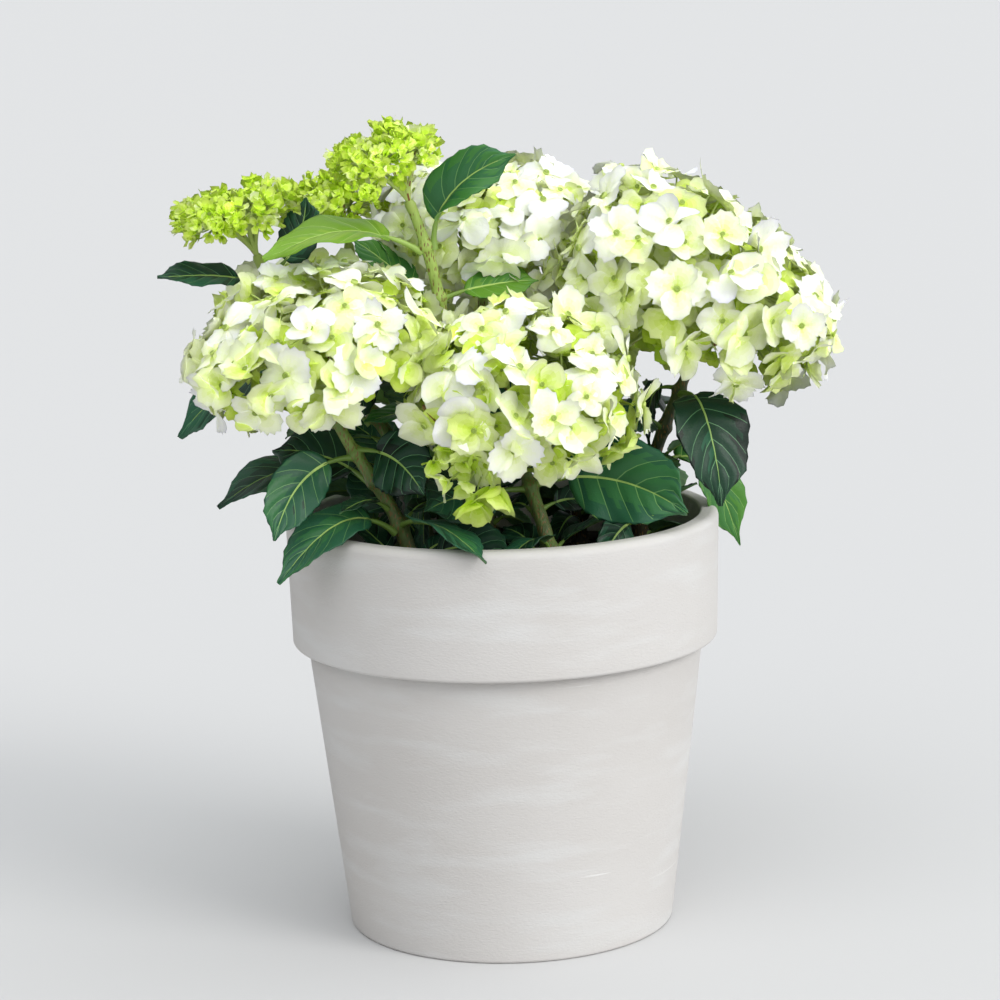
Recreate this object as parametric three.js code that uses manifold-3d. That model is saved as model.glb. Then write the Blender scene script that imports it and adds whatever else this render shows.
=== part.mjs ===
// A hydrangea in flower, in a pale clay pot with a deep collar.
//
// Sizes are in millimetres. +Z is up, -Y is the side that faces the viewer, and the origin
// is the middle of the pot's flat underside. The plant is a set of stems that rise from the
// compost. Each stem carries pairs of opposite leaves, whose stalks clasp it with a thin
// ring, and it ends in one flower head: a broad white mophead, or a small young green one.

import * as THREE from "three";
import { mergeVertices } from "three/addons/utils/BufferGeometryUtils.js";
import Module from "manifold-3d";

const wasm = await Module();
wasm.setup();

// The pot, measured from its underside
const POT_HEIGHT = 242;
const RIM_RADIUS = 125;
const COLLAR_HEIGHT = 73;
const COLLAR_FOOT_RADIUS = 123.3;
const BODY_TOP_RADIUS = 114.5;
const FOOT_RADIUS = 95;
const WALL = 9;
const FLOOR = 12;
const LIP_ROUND = 4.5;
const EDGE_ROUND = 2;
const POT_SIDES = 48;

// The compost that fills it
const SOIL_LEVEL = 212;
const CLEARANCE = 0.3;

// The stems
const STEM_FOOT_RADIUS = 4.4;
const STEM_TIP_RADIUS = 2.9;
const ROOT_FLARE = 1.9;
const FLARE_SHARE = 0.07;
const STEM_SIDES = 6;
const STEM_STEPS = 8;
const STEM_GUIDE = new THREE.Vector3(1, 0, 0);

// The leaves
const BLADE_SHARE = 0.34; // half width over blade length
const BLADE_FOLD = 0.16;
const BLADE_THICKNESS = 1.1;
const BLADE_STEPS = 4;
const STALK_RADIUS = 1.5;
const STALK_SHARE = 0.2;
const RING_WIDTH = 2.2;
const RING_HEIGHT = 4;
const RING_SIDES = 5;
const RING_EASE = 0.25;
const LEAF_GAP = 3.6; // half of what is kept between the test points of two leaves
const STALK_GAP = 2;
const STEM_GAP = 4.6;
const HEAD_GAP = 0.12;
const LEAF_TRIES = 28;

// The flower heads
const GOLDEN_ANGLE = Math.PI * (3 - Math.sqrt(5));
const FLORET_RADIUS = 17;
const YOUNG_FLORET_RADIUS = 10.4;
const FLORET_COVER = 0.88;
const FLORET_DEPTH = 0.97; // of the head's radii, where florets sit
const CORE_SHARE = 0.66;
const PEDUNCLE = 5;

// Each stem: where its foot stands on the compost, where it ends, and its flower head, with
// the head's middle and axis. across and deep are its half width and its half height along
// that axis, and under is the cosine of its lowest floret's angle from the axis.
const STEMS = [
  { name: "front_left", foot: [-50, -66], end: [-92, -64, 311], middle: [-102, -60, 345],
    axis: [-0.3, -0.2, 0.93], across: 74, deep: 46, under: -0.45 },
  { name: "front_middle", foot: [28, -72], end: [11, -54, 291], middle: [13, -80, 321],
    axis: [0.08, -0.66, 0.75], across: 68, deep: 54, under: -0.55 },
  { name: "right", foot: [78, -12], end: [107, -11, 320], middle: [118, -10, 369],
    axis: [0.4, -0.1, 0.91], across: 86, deep: 66, under: -0.62 },
  { name: "middle", foot: [-8, 22], end: [-8, 36, 362], middle: [-9, 42, 400],
    axis: [0.02, -0.2, 0.98], across: 65, deep: 44, under: -0.45 },
  { name: "young_top", foot: [-26, -20], end: [-46, -29, 420], middle: [-57, -30, 446],
    axis: [-0.36, -0.04, 0.93], across: 34, deep: 21, under: -0.3, young: true },
  { name: "young_left", foot: [-44, 18], end: [-136, 22, 387], middle: [-149, 21, 415],
    axis: [-0.38, -0.06, 0.92], across: 37, deep: 20, under: -0.3, young: true },
  { name: "young_back", foot: [-34, 46], end: [-86, 65, 388], middle: [-92, 66, 413],
    axis: [-0.16, 0.05, 0.98], across: 29, deep: 20, under: -0.3, young: true },
  { name: "back_left", foot: [-62, 48], end: [-113, 78, 312], middle: [-124, 86, 343],
    axis: [-0.3, 0.25, 0.92], across: 50, deep: 38, under: -0.45 },
  { name: "back_middle", foot: [-10, 74], end: [-22, 112, 306], middle: [-27, 128, 338],
    axis: [-0.08, 0.4, 0.91], across: 53, deep: 42, under: -0.45 },
  { name: "back_right", foot: [46, 50], end: [68, 94, 307], middle: [78, 108, 341],
    axis: [0.18, 0.36, 0.92], across: 53, deep: 42, under: -0.45 },
];

// The leaves that stand out from the front, each by the place of its tip. up is the share
// of the stem's length below the pair, turn the compass angle of the leaf's stalk in
// degrees from +X, lift its slope, and roll turns the blade about its midrib.
const SHOWN_PAIRS = [
  { stem: "front_middle", up: 0.6, leaves: [
    { tip: [102, -90, 254], turn: -8, lift: 18, roll: 68, wide: 1.0 },
    { tip: [-42, -106, 262], turn: 195, lift: 2, roll: -50, wide: 0.9 }] },
  { stem: "front_middle", up: 0.2, leaves: [
    { tip: [0, -107, 231], turn: -110, lift: 55, roll: 12, wide: 1.1 },
    { tip: [66, -54, 248], turn: 62, lift: 30, roll: -10, wide: 0.9 }] },
  { stem: "right", up: 0.9, leaves: [
    { tip: [123, -50, 250], turn: -64, lift: 12, roll: 0, wide: 1.2 },
    { tip: [86, 2, 276], turn: 150, lift: 10, roll: -60, wide: 0.9 }] },
  { stem: "right", up: 0.46, leaves: [
    { tip: [139, 16, 214], turn: 22, lift: 42, roll: 24, wide: 0.9 },
    { tip: [34, 26, 262], turn: 150, lift: 30, roll: 15, wide: 0.95 }] },
  { stem: "front_left", up: 0.1, leaves: [
    { tip: [4, -98, 232], turn: -20, lift: 40, roll: 50, wide: 1.0 },
    { tip: [-96, -36, 252], turn: 150, lift: 45, roll: 0, wide: 0.9 }] },
  { stem: "front_left", up: 0.3, leaves: [
    { tip: [-124, -98, 222], turn: 200, lift: 40, roll: -26, wide: 0.8 },
    { tip: [-9, -134, 238], turn: -66, lift: 22, roll: -14, wide: 0.66 }] },
  { stem: "front_left", up: 0.74, leaves: [
    { tip: [-125, -98, 246], turn: 205, lift: 0, roll: -62, wide: 0.85 },
    { tip: [-42, -96, 269], turn: -30, lift: 4, roll: 66, wide: 1.3 }] },
  { stem: "young_top", up: 0.88, leaves: [
    { tip: [13, -46, 454], turn: -12, lift: 55, roll: 56, wide: 0.95 },
    { tip: [-129, -50, 395], turn: 190, lift: 32, roll: -14, wide: 0.9 }] },
  { stem: "young_top", up: 0.72, leaves: [
    { tip: [-82, 2, 401], turn: 150, lift: 34, roll: -20, wide: 0.7 },
    { tip: [24, -25, 377], turn: -2, lift: 22, roll: 14, wide: 0.65 }] },
  { stem: "young_left", up: 0.95, leaves: [
    { tip: [-194, 5, 382], turn: 192, lift: 8, roll: -26, wide: 0.8 },
    { tip: [-109, 36, 423], turn: 14, lift: 38, roll: 62, wide: 0.9 }] },
  { stem: "young_left", up: 0.66, leaves: [
    { tip: [-186, 16, 286], turn: 200, lift: 6, roll: -30, wide: 0.85 },
    { tip: [-90, -30, 292], turn: -40, lift: 10, roll: 20, wide: 0.95 }] },
  { stem: "back_left", up: 0.42, leaves: [
    { tip: [-168, 36, 241], turn: 190, lift: 18, roll: -20, wide: 0.8 },
    { tip: [-40, 118, 256], turn: 50, lift: 25, roll: -15, wide: 0.9 }] },
];

// The rest of each stem's pairs follow one rule: evenly spaced, each turned a quarter from
// the one below, as hydrangea leaves are, with seeded sizes and slopes.
const PAIRS_BY_RULE = {
  front_left: 2, front_middle: 2, right: 3, middle: 3, young_top: 4,
  young_left: 3, young_back: 3, back_left: 3, back_middle: 4, back_right: 4,
};
const RULE_LOWEST = 0.12;
const RULE_HIGHEST = 0.84;
const RULE_APART = 13;
const RULE_LENGTH = [74, 98];
const RULE_LIFT = [10, 50];
const RULE_DROOP = [35, 95];
const RULE_ROLL = 60;

const MATERIALS = {
  pot: { color: 0xd9d3cb, roughness: 0.85 },
  soil: { color: 0x2b2119, roughness: 1 },
  stem: { color: 0x7d8f3c, roughness: 0.6 },
  leaf: { color: 0x2c5a2e, roughness: 0.45 },
  bloom: { color: 0xeef2d2, roughness: 0.7 },
  youngBloom: { color: 0xb9d63c, roughness: 0.7 },
};

const UP = new THREE.Vector3(0, 0, 1);
const RADIANS = Math.PI / 180;

// A seeded run of numbers from 0 to 1, so that every build grows the same plant.
function seeded(seed) {
  let state = seed >>> 0;
  return () => {
    state = (Math.imul(state, 1664525) + 1013904223) >>> 0;
    return state / 4294967296;
  };
}

function between([low, high], share) {
  return low + (high - low) * share;
}

// The direction with a compass angle and a slope, both in degrees.
function heading(turn, slope) {
  const level = Math.cos(slope * RADIANS);
  return new THREE.Vector3(
    level * Math.cos(turn * RADIANS),
    level * Math.sin(turn * RADIANS),
    Math.sin(slope * RADIANS),
  );
}

// Two directions square to an axis. side, axis and back make a right-handed set.
function square(axis, guide = new THREE.Vector3(-axis.y, axis.x, 0)) {
  const side = guide.clone().addScaledVector(axis, -guide.dot(axis));
  if (side.length() < 1e-6) side.set(1, 0, 0);
  side.normalize();
  return { side, back: new THREE.Vector3().crossVectors(side, axis) };
}

// A closed geometry as a solid, with shared corners merged and flat triangles left out.
function solid(geometry) {
  const bare = geometry.clone();
  bare.deleteAttribute("normal");
  bare.deleteAttribute("uv");
  const merged = mergeVertices(bare, 1e-3);
  const corners = merged.index.array;
  const kept = [];
  for (let i = 0; i < corners.length; i += 3) {
    const [a, b, c] = [corners[i], corners[i + 1], corners[i + 2]];
    if (a !== b && b !== c && c !== a) kept.push(a, b, c);
  }
  return new wasm.Manifold(
    new wasm.Mesh({
      numProp: 3,
      vertProperties: merged.attributes.position.array,
      triVerts: new Uint32Array(kept),
    }),
  );
}

// A solid back as a geometry, with flat faces.
function geometryOf(made) {
  const { numProp, numVert, vertProperties, triVerts } = made.getMesh();
  const places = new Float32Array(numVert * 3);
  for (let i = 0; i < numVert; i++) {
    places.set(vertProperties.subarray(i * numProp, i * numProp + 3), i * 3);
  }
  const indexed = new THREE.BufferGeometry()
    .setAttribute("position", new THREE.BufferAttribute(places, 3))
    .setIndex(new THREE.BufferAttribute(triVerts, 1));
  const flat = indexed.toNonIndexed();
  flat.computeVertexNormals();
  return flat;
}

function named(name, kind, geometry) {
  const material = new THREE.MeshStandardMaterial({ metalness: 0, ...MATERIALS[kind] });
  const mesh = new THREE.Mesh(geometry, material);
  mesh.name = name;
  return mesh;
}

// A cylinder bent and shaped along its length: centreAt(v) is its middle at share v, and
// offsetAt(v, angle) reaches from there to its skin.
function sweep(sides, steps, centreAt, offsetAt) {
  const geometry = new THREE.CylinderGeometry(1, 1, 1, sides, steps);
  const places = geometry.getAttribute("position");
  const from = new THREE.Vector3();
  for (let i = 0; i < places.count; i++) {
    from.fromBufferAttribute(places, i);
    const share = Math.min(1, Math.max(0, from.y + 0.5));
    const reach = Math.hypot(from.x, from.z) > 0.5 ? 1 : 0;
    const to = centreAt(share).clone();
    to.addScaledVector(offsetAt(share, Math.atan2(from.x, from.z)), reach);
    places.setXYZ(i, to.x, to.y, to.z);
  }
  return geometry;
}

// A round offset in the plane square to an axis.
function around(axis, radius, angle, guide) {
  const { side, back } = square(axis, guide);
  return side.multiplyScalar(radius * Math.sin(angle)).addScaledVector(back, radius * Math.cos(angle));
}

// A straight tapering rod between two points.
function rod(from, to, startRadius, endRadius, sides) {
  const axis = to.clone().sub(from).normalize();
  return sweep(
    sides,
    1,
    (v) => from.clone().lerp(to, v),
    (v, angle) => around(axis, between([startRadius, endRadius], v), angle),
  );
}

function arc(middleR, middleZ, radius, from, to, count) {
  return Array.from({ length: count + 1 }, (_, i) => {
    const angle = between([from, to], i / count);
    return new THREE.Vector2(middleR + radius * Math.cos(angle), middleZ + radius * Math.sin(angle));
  });
}

// The pot's inner radius at a height.
function innerRadius(z) {
  const low = FOOT_RADIUS - WALL;
  const high = BODY_TOP_RADIUS - 0.5;
  return between([low, high], (z - FLOOR) / (POT_HEIGHT - FLOOR));
}

function potGeometry() {
  const step = POT_HEIGHT - COLLAR_HEIGHT;
  const quarter = Math.PI / 2;
  const profile = [
    new THREE.Vector2(0, 0),
    new THREE.Vector2(FOOT_RADIUS - EDGE_ROUND, 0),
    new THREE.Vector2(FOOT_RADIUS, EDGE_ROUND),
    new THREE.Vector2(BODY_TOP_RADIUS, step),
    new THREE.Vector2(COLLAR_FOOT_RADIUS - EDGE_ROUND, step),
    new THREE.Vector2(COLLAR_FOOT_RADIUS, step + EDGE_ROUND),
    ...arc(RIM_RADIUS - LIP_ROUND, POT_HEIGHT - LIP_ROUND, LIP_ROUND, 0, quarter, 2),
    ...arc(innerRadius(POT_HEIGHT) + EDGE_ROUND, POT_HEIGHT - EDGE_ROUND, EDGE_ROUND, quarter, Math.PI, 1),
    new THREE.Vector2(innerRadius(FLOOR), FLOOR),
    new THREE.Vector2(0, FLOOR),
  ];
  return new THREE.LatheGeometry(profile, POT_SIDES).rotateX(Math.PI / 2);
}

function soilGeometry() {
  const bottom = FLOOR + CLEARANCE;
  const profile = [
    new THREE.Vector2(0, bottom),
    new THREE.Vector2(innerRadius(bottom) - CLEARANCE, bottom),
    new THREE.Vector2(innerRadius(SOIL_LEVEL) - CLEARANCE, SOIL_LEVEL),
    new THREE.Vector2(0, SOIL_LEVEL),
  ];
  return new THREE.LatheGeometry(profile, POT_SIDES).rotateX(Math.PI / 2);
}

// Fills in what follows from a stem's few sizes: its curve, broken into straight steps, and
// its head's frame.
function grown(stem) {
  const { name, across, deep, under, young } = stem;
  const foot = new THREE.Vector3(...stem.foot, SOIL_LEVEL + CLEARANCE);
  const end = new THREE.Vector3(...stem.end);
  const axis = new THREE.Vector3(...stem.axis).normalize();
  const length = foot.distanceTo(end);
  const curve = new THREE.CubicBezierCurve3(
    foot,
    foot.clone().addScaledVector(UP, length * 0.4),
    end.clone().addScaledVector(axis, -length * 0.3),
    end,
  );
  const points = Array.from({ length: STEM_STEPS + 1 }, (_, i) => curve.getPoint(i / STEM_STEPS));
  const head = { middle: new THREE.Vector3(...stem.middle), axis, across, deep, under, young };
  return { name, points, axis, head };
}

// A point on a stem's broken line, with the line's direction and the stem's radius there.
function onStem(stem, up) {
  const along = Math.min(up * STEM_STEPS, STEM_STEPS - 1e-9);
  const step = Math.floor(along);
  const [low, high] = [stem.points[step], stem.points[step + 1]];
  return {
    point: low.clone().lerp(high, along - step),
    axis: high.clone().sub(low).normalize(),
    radius: between([stemRadius(step / STEM_STEPS), stemRadius((step + 1) / STEM_STEPS)], along - step),
  };
}

function stemRadius(up) {
  const flare = Math.max(0, 1 - up / FLARE_SHARE);
  return between([STEM_FOOT_RADIUS, STEM_TIP_RADIUS], up) + ROOT_FLARE * flare * flare;
}

// The guide keeps the sides of a stem from turning where its foot stands upright.
function stemGeometry(stem) {
  const last = stem.points.length - 1;
  const axisAt = (i) => {
    if (i === 0) return UP;
    if (i === last) return stem.axis;
    return stem.points[i + 1].clone().sub(stem.points[i - 1]).normalize();
  };
  return sweep(
    STEM_SIDES,
    STEM_STEPS,
    (v) => stem.points[Math.round(v * last)],
    (v, angle) => around(axisAt(Math.round(v * last)), stemRadius(v), angle, STEM_GUIDE),
  );
}

// How far a point is into a head's space: under 1 is inside it.
function within(head, point) {
  const from = point.clone().sub(head.middle);
  const along = from.dot(head.axis);
  return (from.lengthSq() - along * along) / head.across ** 2 + along ** 2 / head.deep ** 2;
}

// The florets of a head, spread evenly over its dome by the golden angle. Each has a
// middle, the way that it faces, a radius and a spin.
function florets(head, radius, seed) {
  const random = seeded(seed);
  const { side, back } = square(head.axis);
  const count = Math.round((FLORET_COVER * head.across * (head.across + head.deep)) / radius ** 2);
  return Array.from({ length: count }, (_, i) => {
    const rise = between([1, head.under], (i + 0.5) / count);
    const turn = i * GOLDEN_ANGLE + seed;
    const level = Math.sqrt(1 - rise * rise);
    const depth = FLORET_DEPTH * (1 - 0.1 * random());
    const out = side.clone()
      .multiplyScalar(level * Math.cos(turn))
      .addScaledVector(back, level * Math.sin(turn));
    const middle = head.middle.clone()
      .addScaledVector(out, head.across * depth)
      .addScaledVector(head.axis, head.deep * rise * depth);
    const faces = out.clone().multiplyScalar(1 / head.across)
      .addScaledVector(head.axis, rise / head.deep)
      .normalize()
      .addScaledVector(side, 0.4 * (random() - 0.5))
      .addScaledVector(back, 0.4 * (random() - 0.5))
      .addScaledVector(head.axis, 0.12)
      .normalize();
    return { middle, faces, radius: radius * (0.88 + 0.24 * random()), spin: random() * Math.PI };
  });
}

// A floret: four broad lobes, each with two corners, about a raised middle. Under them a
// four-sided funnel runs from the notches between the lobes to its root in the core.
function floretGeometry(floret, root) {
  const corners = 12;
  const geometry = new THREE.CylinderGeometry(1, 1, 1, corners, 2);
  const { side, back } = square(floret.faces);
  const places = geometry.getAttribute("position");
  for (let i = 0; i < places.count; i++) {
    const [x, y, z] = [places.getX(i), places.getY(i), places.getZ(i)];
    const to = new THREE.Vector3();
    if (y > 0.4) {
      to.copy(root);
    } else if (Math.hypot(x, z) < 0.5) {
      to.copy(floret.middle).addScaledVector(floret.faces, 0.1 * floret.radius);
    } else {
      const corner = Math.round((Math.atan2(x, z) / (2 * Math.PI)) * corners + corners);
      const notch = 3 * Math.round(corner / 3);
      const lobed = y < -0.4 && corner !== notch;
      const place = lobed ? notch + Math.sign(corner - notch) * 0.55 : notch;
      const angle = (place * 2 * Math.PI) / corners + floret.spin;
      const reach = floret.radius * (lobed ? 1 : 0.62);
      to.copy(floret.middle)
        .addScaledVector(side, reach * Math.sin(angle))
        .addScaledVector(back, -reach * Math.cos(angle))
        .addScaledVector(floret.faces, lobed ? 0 : -0.12 * floret.radius);
    }
    places.setXYZ(i, to.x, to.y, to.z);
  }
  return geometry;
}

// The points that tell whether a floret is clear of what is near it.
function floretRim(floret) {
  const { side, back } = square(floret.faces);
  const rim = [0, 1, 2, 3, 4, 5, 6, 7].map((i) => {
    const angle = (i * Math.PI) / 4;
    return floret.middle.clone()
      .addScaledVector(side, floret.radius * Math.sin(angle))
      .addScaledVector(back, floret.radius * Math.cos(angle));
  });
  return [floret.middle, ...rim];
}

// One flower head: a short stalk that forks into rays, a core, and the florets that stand
// out of it. A floret nearer to a neighbouring head's middle is drawn in, or left out.
function headSolid(stem, others, seed) {
  const { head } = stem;
  const radius = head.young ? YOUNG_FLORET_RADIUS : FLORET_RADIUS;
  const start = stem.points[STEM_STEPS].clone().addScaledVector(stem.axis, CLEARANCE);
  const fork = start.clone().addScaledVector(stem.axis, PEDUNCLE);
  const neck = rod(start, fork, STEM_TIP_RADIUS, STEM_TIP_RADIUS, STEM_SIDES);
  const solids = [solid(neck), solid(coreGeometry(head))];
  const rays = head.young ? 6 : 4;
  const { side, back } = square(head.axis);
  for (let i = 0; i < rays; i++) {
    const angle = (i * 2 * Math.PI) / rays + seed;
    const to = head.middle.clone()
      .addScaledVector(side, 0.4 * head.across * Math.sin(angle))
      .addScaledVector(back, 0.4 * head.across * Math.cos(angle))
      .addScaledVector(head.axis, -0.1 * head.deep);
    solids.push(solid(rod(fork.clone().addScaledVector(stem.axis, -1.5), to, 1.9, 1.6, 4)));
  }
  for (const floret of florets(head, radius, seed)) {
    const clear = () => floretRim(floret).every((point) => {
      const own = within(head, point);
      return others.every((other) => within(other, point) > own + 0.1);
    });
    for (let i = 0; i < 4 && !clear(); i++) floret.middle.lerp(head.middle, 0.08);
    if (!clear()) continue;
    const root = head.middle.clone().lerp(floret.middle, head.young ? 0.3 : 0.5);
    solids.push(solid(floretGeometry(floret, root)));
  }
  return wasm.Manifold.union(solids);
}

// The dense middle of a head, where its rays and small inner florets crowd together.
function coreGeometry(head) {
  const core = new THREE.IcosahedronGeometry(1, 0);
  const { side, back } = square(head.axis);
  const places = core.getAttribute("position");
  const deep = head.deep * (head.young ? 0.5 : CORE_SHARE);
  for (let i = 0; i < places.count; i++) {
    const to = head.middle.clone()
      .addScaledVector(side, places.getX(i) * head.across * CORE_SHARE)
      .addScaledVector(head.axis, places.getY(i) * deep)
      .addScaledVector(back, places.getZ(i) * head.across * CORE_SHARE);
    places.setXYZ(i, to.x, to.y, to.z);
  }
  return core;
}

// The share of its full half width that a blade has at share s of its length.
function outline(s) {
  return (s ** 0.6 * (1 - s) ** 0.95) / (0.387 ** 0.6 * 0.613 ** 0.95);
}

// Fills in a leaf from its place on a stem, its first direction and its tip. Its stalk
// starts in the ring, clear of the stem.
function shaped(leaf, place) {
  const way = heading(leaf.turn, leaf.lift);
  const slope = way.dot(place.axis);
  const outward = way.clone().addScaledVector(place.axis, -slope).normalize();
  const start = place.radius + CLEARANCE + 0.5 + STALK_RADIUS * Math.abs(slope);
  const from = place.point.clone().addScaledVector(outward, start);
  const tip = new THREE.Vector3(...leaf.tip);
  const reach = from.distanceTo(tip);
  const curve = new THREE.QuadraticBezierCurve3(from, from.clone().addScaledVector(way, reach * 0.5), tip);
  const level = tip.clone().sub(from).addScaledVector(way, reach * 0.3);
  const flat = new THREE.Vector3(level.y, -level.x, 0).normalize();
  return { ...leaf, curve, flat, reach, half: reach * (1 - STALK_SHARE) * BLADE_SHARE * leaf.wide };
}

// Where a leaf's blade is at share s of its length: its middle, and the ways to its right
// edge and out of its upper face.
function bladeFrame(leaf, s) {
  const t = STALK_SHARE + (1 - STALK_SHARE) * s;
  const along = leaf.curve.getTangent(t);
  const right = leaf.flat.clone().addScaledVector(along, -leaf.flat.dot(along)).normalize();
  right.applyAxisAngle(along, leaf.roll * RADIANS);
  return { middle: leaf.curve.getPoint(t), right, out: new THREE.Vector3().crossVectors(right, along) };
}

// Points over a leaf and its stalk, each with the space that it keeps, and a ball that
// holds them all.
function spaceOf(leaf) {
  const points = [];
  for (let row = 0; row <= 12; row++) {
    const s = row / 12;
    const { middle, right, out } = bladeFrame(leaf, s);
    const half = leaf.half * outline(s);
    for (let column = -3; column <= 3; column++) {
      const across = column / 3;
      const point = middle.clone()
        .addScaledVector(right, across * half)
        .addScaledVector(out, BLADE_FOLD * half * Math.abs(across));
      points.push({ point, gap: LEAF_GAP });
    }
  }
  for (const t of [0.09, 0.13, 0.17]) points.push({ point: leaf.curve.getPoint(t), gap: STALK_GAP });
  const ball = new THREE.Sphere().setFromPoints(points.map(({ point }) => point));
  return { points, ball };
}

// The shortest way from a point to a stem's broken line.
function toStem(stem, point) {
  let nearest = Infinity;
  const close = new THREE.Vector3();
  for (let i = 0; i < STEM_STEPS; i++) {
    new THREE.Line3(stem.points[i], stem.points[i + 1]).closestPointToPoint(point, true, close);
    nearest = Math.min(nearest, close.distanceTo(point));
  }
  return nearest;
}

function clearOfPot(point) {
  const radius = Math.hypot(point.x, point.y);
  if (point.z > POT_HEIGHT + 2) return true;
  if (radius > RIM_RADIUS + 2) return true;
  return radius < innerRadius(POT_HEIGHT) - 3 && point.z > SOIL_LEVEL + 3;
}

// True if a leaf keeps to its own space among the pot, stems, heads and leaves so far.
function fits(leaf, ownStem, stems, taken) {
  const space = spaceOf(leaf);
  const near = taken.filter((other) => other.ball.center.distanceTo(space.ball.center)
    < other.ball.radius + space.ball.radius + 2 * LEAF_GAP);
  return space.points.every(({ point, gap }) => {
    if (!clearOfPot(point)) return false;
    if (stems.some((stem) => within(stem.head, point) < 1 + HEAD_GAP)) return false;
    if (stems.some((stem) => stem !== ownStem && toStem(stem, point) < STEM_GAP + gap)) return false;
    if (gap === LEAF_GAP && toStem(ownStem, point) < STEM_GAP + 1) return false;
    const free = (taking) => taking.point.distanceTo(point) > taking.gap + gap;
    return near.every((other) => other.points.every(free));
  });
}

// The leaf that the rule gives at a place on a stem, or null if no try finds room for it.
function leafByRule(stem, up, turn, random, stems, taken) {
  const place = onStem(stem, up);
  const long = between(RULE_LENGTH, random());
  const lift = between(RULE_LIFT, random());
  const droop = between(RULE_DROOP, random());
  const jitter = 30 * (random() - 0.5);
  for (let i = 0; i < LEAF_TRIES; i++) {
    const swing = turn + (i % 2 ? -1 : 1) * Math.ceil(i / 2) * 5;
    const size = long * (1 - 0.02 * i);
    const rise = lift + (i % 3) * 12;
    const tip = place.point.clone()
      .addScaledVector(heading(swing, rise), size * 0.5)
      .addScaledVector(heading(swing, rise - droop), size * 0.5);
    const outward = Math.atan2(tip.y + place.point.y, tip.x + place.point.x) / RADIANS;
    const roll = jitter - RULE_ROLL * Math.sin((outward - swing) * RADIANS);
    const leaf = shaped({ tip: tip.toArray(), turn: swing, lift: rise, roll, wide: 1 }, place);
    if (fits(leaf, stem, stems, taken)) return leaf;
  }
  return null;
}

// A leaf in one sweep of a four-cornered section: round along its stalk, then a blade that
// is folded along its midrib, thickest there and thin at its edges.
function leafGeometry(leaf) {
  const steps = BLADE_STEPS + 1;
  const shareAt = (v) => (v * steps - 1) / BLADE_STEPS;
  return sweep(
    4,
    steps,
    (v) => (shareAt(v) < 0 ? leaf.curve.getPoint(0) : bladeFrame(leaf, shareAt(v)).middle),
    (v, angle) => {
      const s = Math.max(0, shareAt(v));
      const { right, out } = bladeFrame(leaf, s);
      const half = leaf.half * outline(s);
      const edge = Math.sin(angle);
      const skin = Math.cos(angle);
      if (s === 0) {
        return right.multiplyScalar(edge * STALK_RADIUS).addScaledVector(out, skin * STALK_RADIUS);
      }
      if (Math.abs(edge) > 0.5) {
        return right.multiplyScalar(edge * half).addScaledVector(out, BLADE_FOLD * half);
      }
      return out.multiplyScalar(skin * BLADE_THICKNESS * 0.5 * Math.min(1, (1 - s) * 6));
    },
  );
}

// The thin ring by which a pair of stalks clasps its stem.
function ringSolid(place) {
  const inner = (place.radius + CLEARANCE + RING_EASE) / Math.cos(Math.PI / RING_SIDES);
  const profile = [
    new THREE.Vector2(inner, -RING_HEIGHT / 2),
    new THREE.Vector2(inner + RING_WIDTH, 0),
    new THREE.Vector2(inner, RING_HEIGHT / 2),
    new THREE.Vector2(inner, -RING_HEIGHT / 2),
  ];
  const geometry = new THREE.LatheGeometry(profile, RING_SIDES);
  geometry.applyQuaternion(new THREE.Quaternion().setFromUnitVectors(new THREE.Vector3(0, 1, 0), place.axis));
  return solid(geometry.translate(...place.point.toArray()));
}

function pairSolid(leaves, place) {
  const blades = leaves.map((leaf) => solid(leafGeometry(leaf)));
  return wasm.Manifold.union([ringSolid(place), ...blades]);
}

// Every pair of leaves on the plant: those that show first, then those by rule.
function pairsOf(stems) {
  const pairs = [];
  const taken = [];
  const keep = (stem, up, leaves) => {
    taken.push(...leaves.map(spaceOf));
    pairs.push({ stem, up, leaves, place: onStem(stem, up) });
  };
  for (const shown of SHOWN_PAIRS) {
    const stem = stems.find(({ name }) => name === shown.stem);
    keep(stem, shown.up, shown.leaves.map((leaf) => shaped(leaf, onStem(stem, shown.up))));
  }
  stems.forEach((stem, row) => {
    const random = seeded(row * 31 + 5);
    const length = stem.points[0].distanceTo(stem.points[STEM_STEPS]);
    const firstTurn = 360 * random();
    const count = PAIRS_BY_RULE[stem.name];
    for (let i = 0; i < count; i++) {
      const up = between([RULE_LOWEST, RULE_HIGHEST], (i + 0.15 + 0.3 * random()) / count);
      const near = pairs.filter((pair) => pair.stem === stem && Math.abs(pair.up - up) * length < RULE_APART);
      if (near.length) continue;
      const leaves = [];
      for (const turn of [firstTurn + i * 90, firstTurn + i * 90 + 180]) {
        const leaf = leafByRule(stem, up, turn, random, stems, [...taken, ...leaves.map(spaceOf)]);
        if (leaf) leaves.push(leaf);
      }
      if (leaves.length) keep(stem, up, leaves);
    }
  });
  return pairs;
}

function plant() {
  const stems = STEMS.map(grown);
  return { stems, pairs: pairsOf(stems) };
}

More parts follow.
